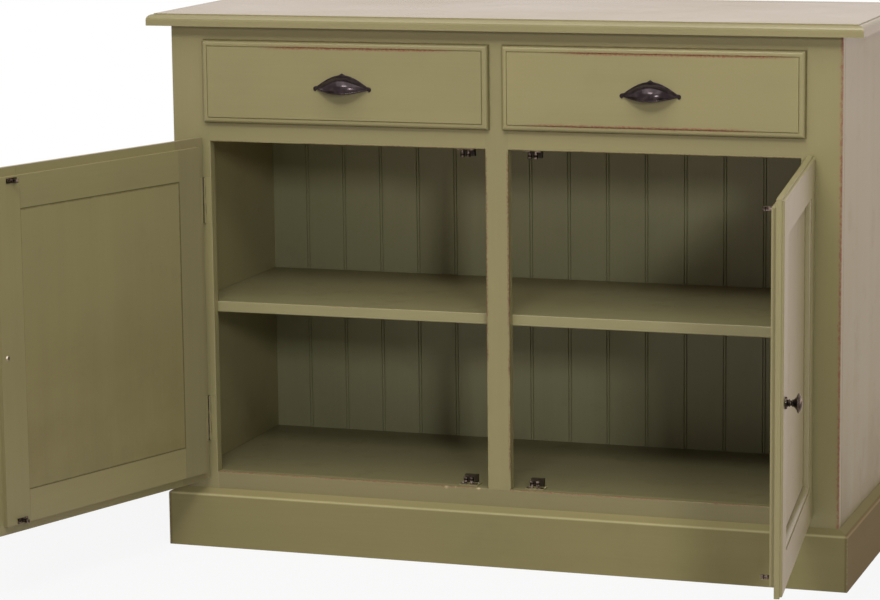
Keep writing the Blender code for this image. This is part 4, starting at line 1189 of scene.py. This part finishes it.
# Pale floor that fades into a white surround, and plain soft light
stageLook = {
    "floorSize": 60.0, "floorDrop": 0.0005, "floor": (0.55, 0.55, 0.54, 1.0), "white": 0.90,
    "fadeFrom": 1.6, "fadeTo": 4.5, "ambient": 0.05,
    "mirrored": (1.0, 0.885, 0.86, 1.0), "floorMirrored": (1.0, 0.84, 0.79, 1.0),
}
lamps = {  # place, point that it faces, size across and up, watts, colour
    "overheadSoftbox": ((0.1, -1.5, 3.1), (0.0, 0.1, 0.3), (3.6, 2.4), 63.0, (1.0, 0.99, 0.96)),
    "highSoftbox": ((0.3, -3.2, 3.4), (0.0, 0.0, 0.45), (1.2, 0.7), 48.0, (1.0, 1.0, 1.0)),
    "keySoftbox": ((2.4, -4.3, 1.9), (0.0, 0.0, 0.45), (0.55, 0.55), 59.0, (1.0, 1.0, 1.0)),
    "rearSoftbox": ((3.2, 2.4, 0.55), (0.3, -0.1, 0.45), (2.4, 0.8), 23.5, (1.0, 0.87, 0.83)),
    "leftSoftbox": ((-3.6, 0.8, 0.5), (-0.3, 0.0, 0.45), (2.2, 0.8), 19.0, (1.0, 0.98, 0.95)),
}


# 1 for what is mirrored, or seen through something
def mirroredRay(tree):
    path = put(tree, "ShaderNodeLightPath").outputs
    return maths("MAXIMUM", path["Is Glossy Ray"], path["Is Transmission Ray"])


def seenWhite(tree):
    straight = put(tree, "ShaderNodeLightPath").outputs["Is Camera Ray"]
    return maths("MAXIMUM", straight, mirroredRay(tree))


# White to the eye, and a little warmer where it is mirrored in the paint
def mirroredTint(tree, colour):
    return tint(mirroredRay(tree), plainWhite, colour)


# Ends a tree with a mix of two shaders
def endWith(kind, share, first, second):
    tree = share.id_data
    mixed = put(tree, "ShaderNodeMixShader", {0: share, 1: first.outputs[0], 2: second.outputs[0]})
    put(tree, kind, {"Surface": mixed.outputs[0]})


def setFloor():
    made = newMaterial("pale_floor")[0]
    tree = made.node_tree
    tree.nodes.clear()
    reach = farFrom(put(tree, "ShaderNodeTexCoord").outputs["Object"])
    fade = ramp(reach, stageLook["fadeFrom"], stageLook["fadeTo"], stageLook["white"], 1.0)
    matt = put(tree, "ShaderNodeBsdfDiffuse", {"Color": stageLook["floor"]})
    colour = mirroredTint(tree, stageLook["floorMirrored"])
    white = put(tree, "ShaderNodeEmission", {"Color": colour, "Strength": 1.0})
    endWith("ShaderNodeOutputMaterial", times(fade, seenWhite(tree)), matt, white)
    bm = bmesh.new()
    bmesh.ops.create_grid(bm, x_segments=2, y_segments=2, size=stageLook["floorSize"] / 2)
    mesh = bpy.data.meshes.new("floor")
    bm.to_mesh(mesh)
    bm.free()
    mesh.materials.append(made)
    floor = bpy.data.objects.new("floor", mesh)
    scene.collection.objects.link(floor)
    floor.location.z = -stageLook["floorDrop"]


def setLight():
    world = bpy.data.worlds.new("softStudio")
    scene.world = world
    world.use_nodes = True
    tree = world.node_tree
    tree.nodes.clear()
    soft = put(tree, "ShaderNodeBackground", {"Color": plainWhite, "Strength": stageLook["ambient"]})
    colour = mirroredTint(tree, stageLook["mirrored"])
    white = put(tree, "ShaderNodeBackground", {"Color": colour, "Strength": 1.0})
    endWith("ShaderNodeOutputWorld", seenWhite(tree), soft, white)
    for name, (place, aim, size, watts, colour) in lamps.items():
        light = bpy.data.lights.new(name, "AREA")
        light.shape = "RECTANGLE"
        light.size, light.size_y = size
        light.energy = watts
        light.color = colour
        lamp = bpy.data.objects.new(name, light)
        scene.collection.objects.link(lamp)
        away = Vector(place) - Vector(aim)
        lamp.matrix_world = Matrix.Translation(place) @ away.to_track_quat("Z", "Y").to_matrix().to_4x4()


setFloor()
setLight()
print("floor and light set")

bpy.context.view_layer.update()
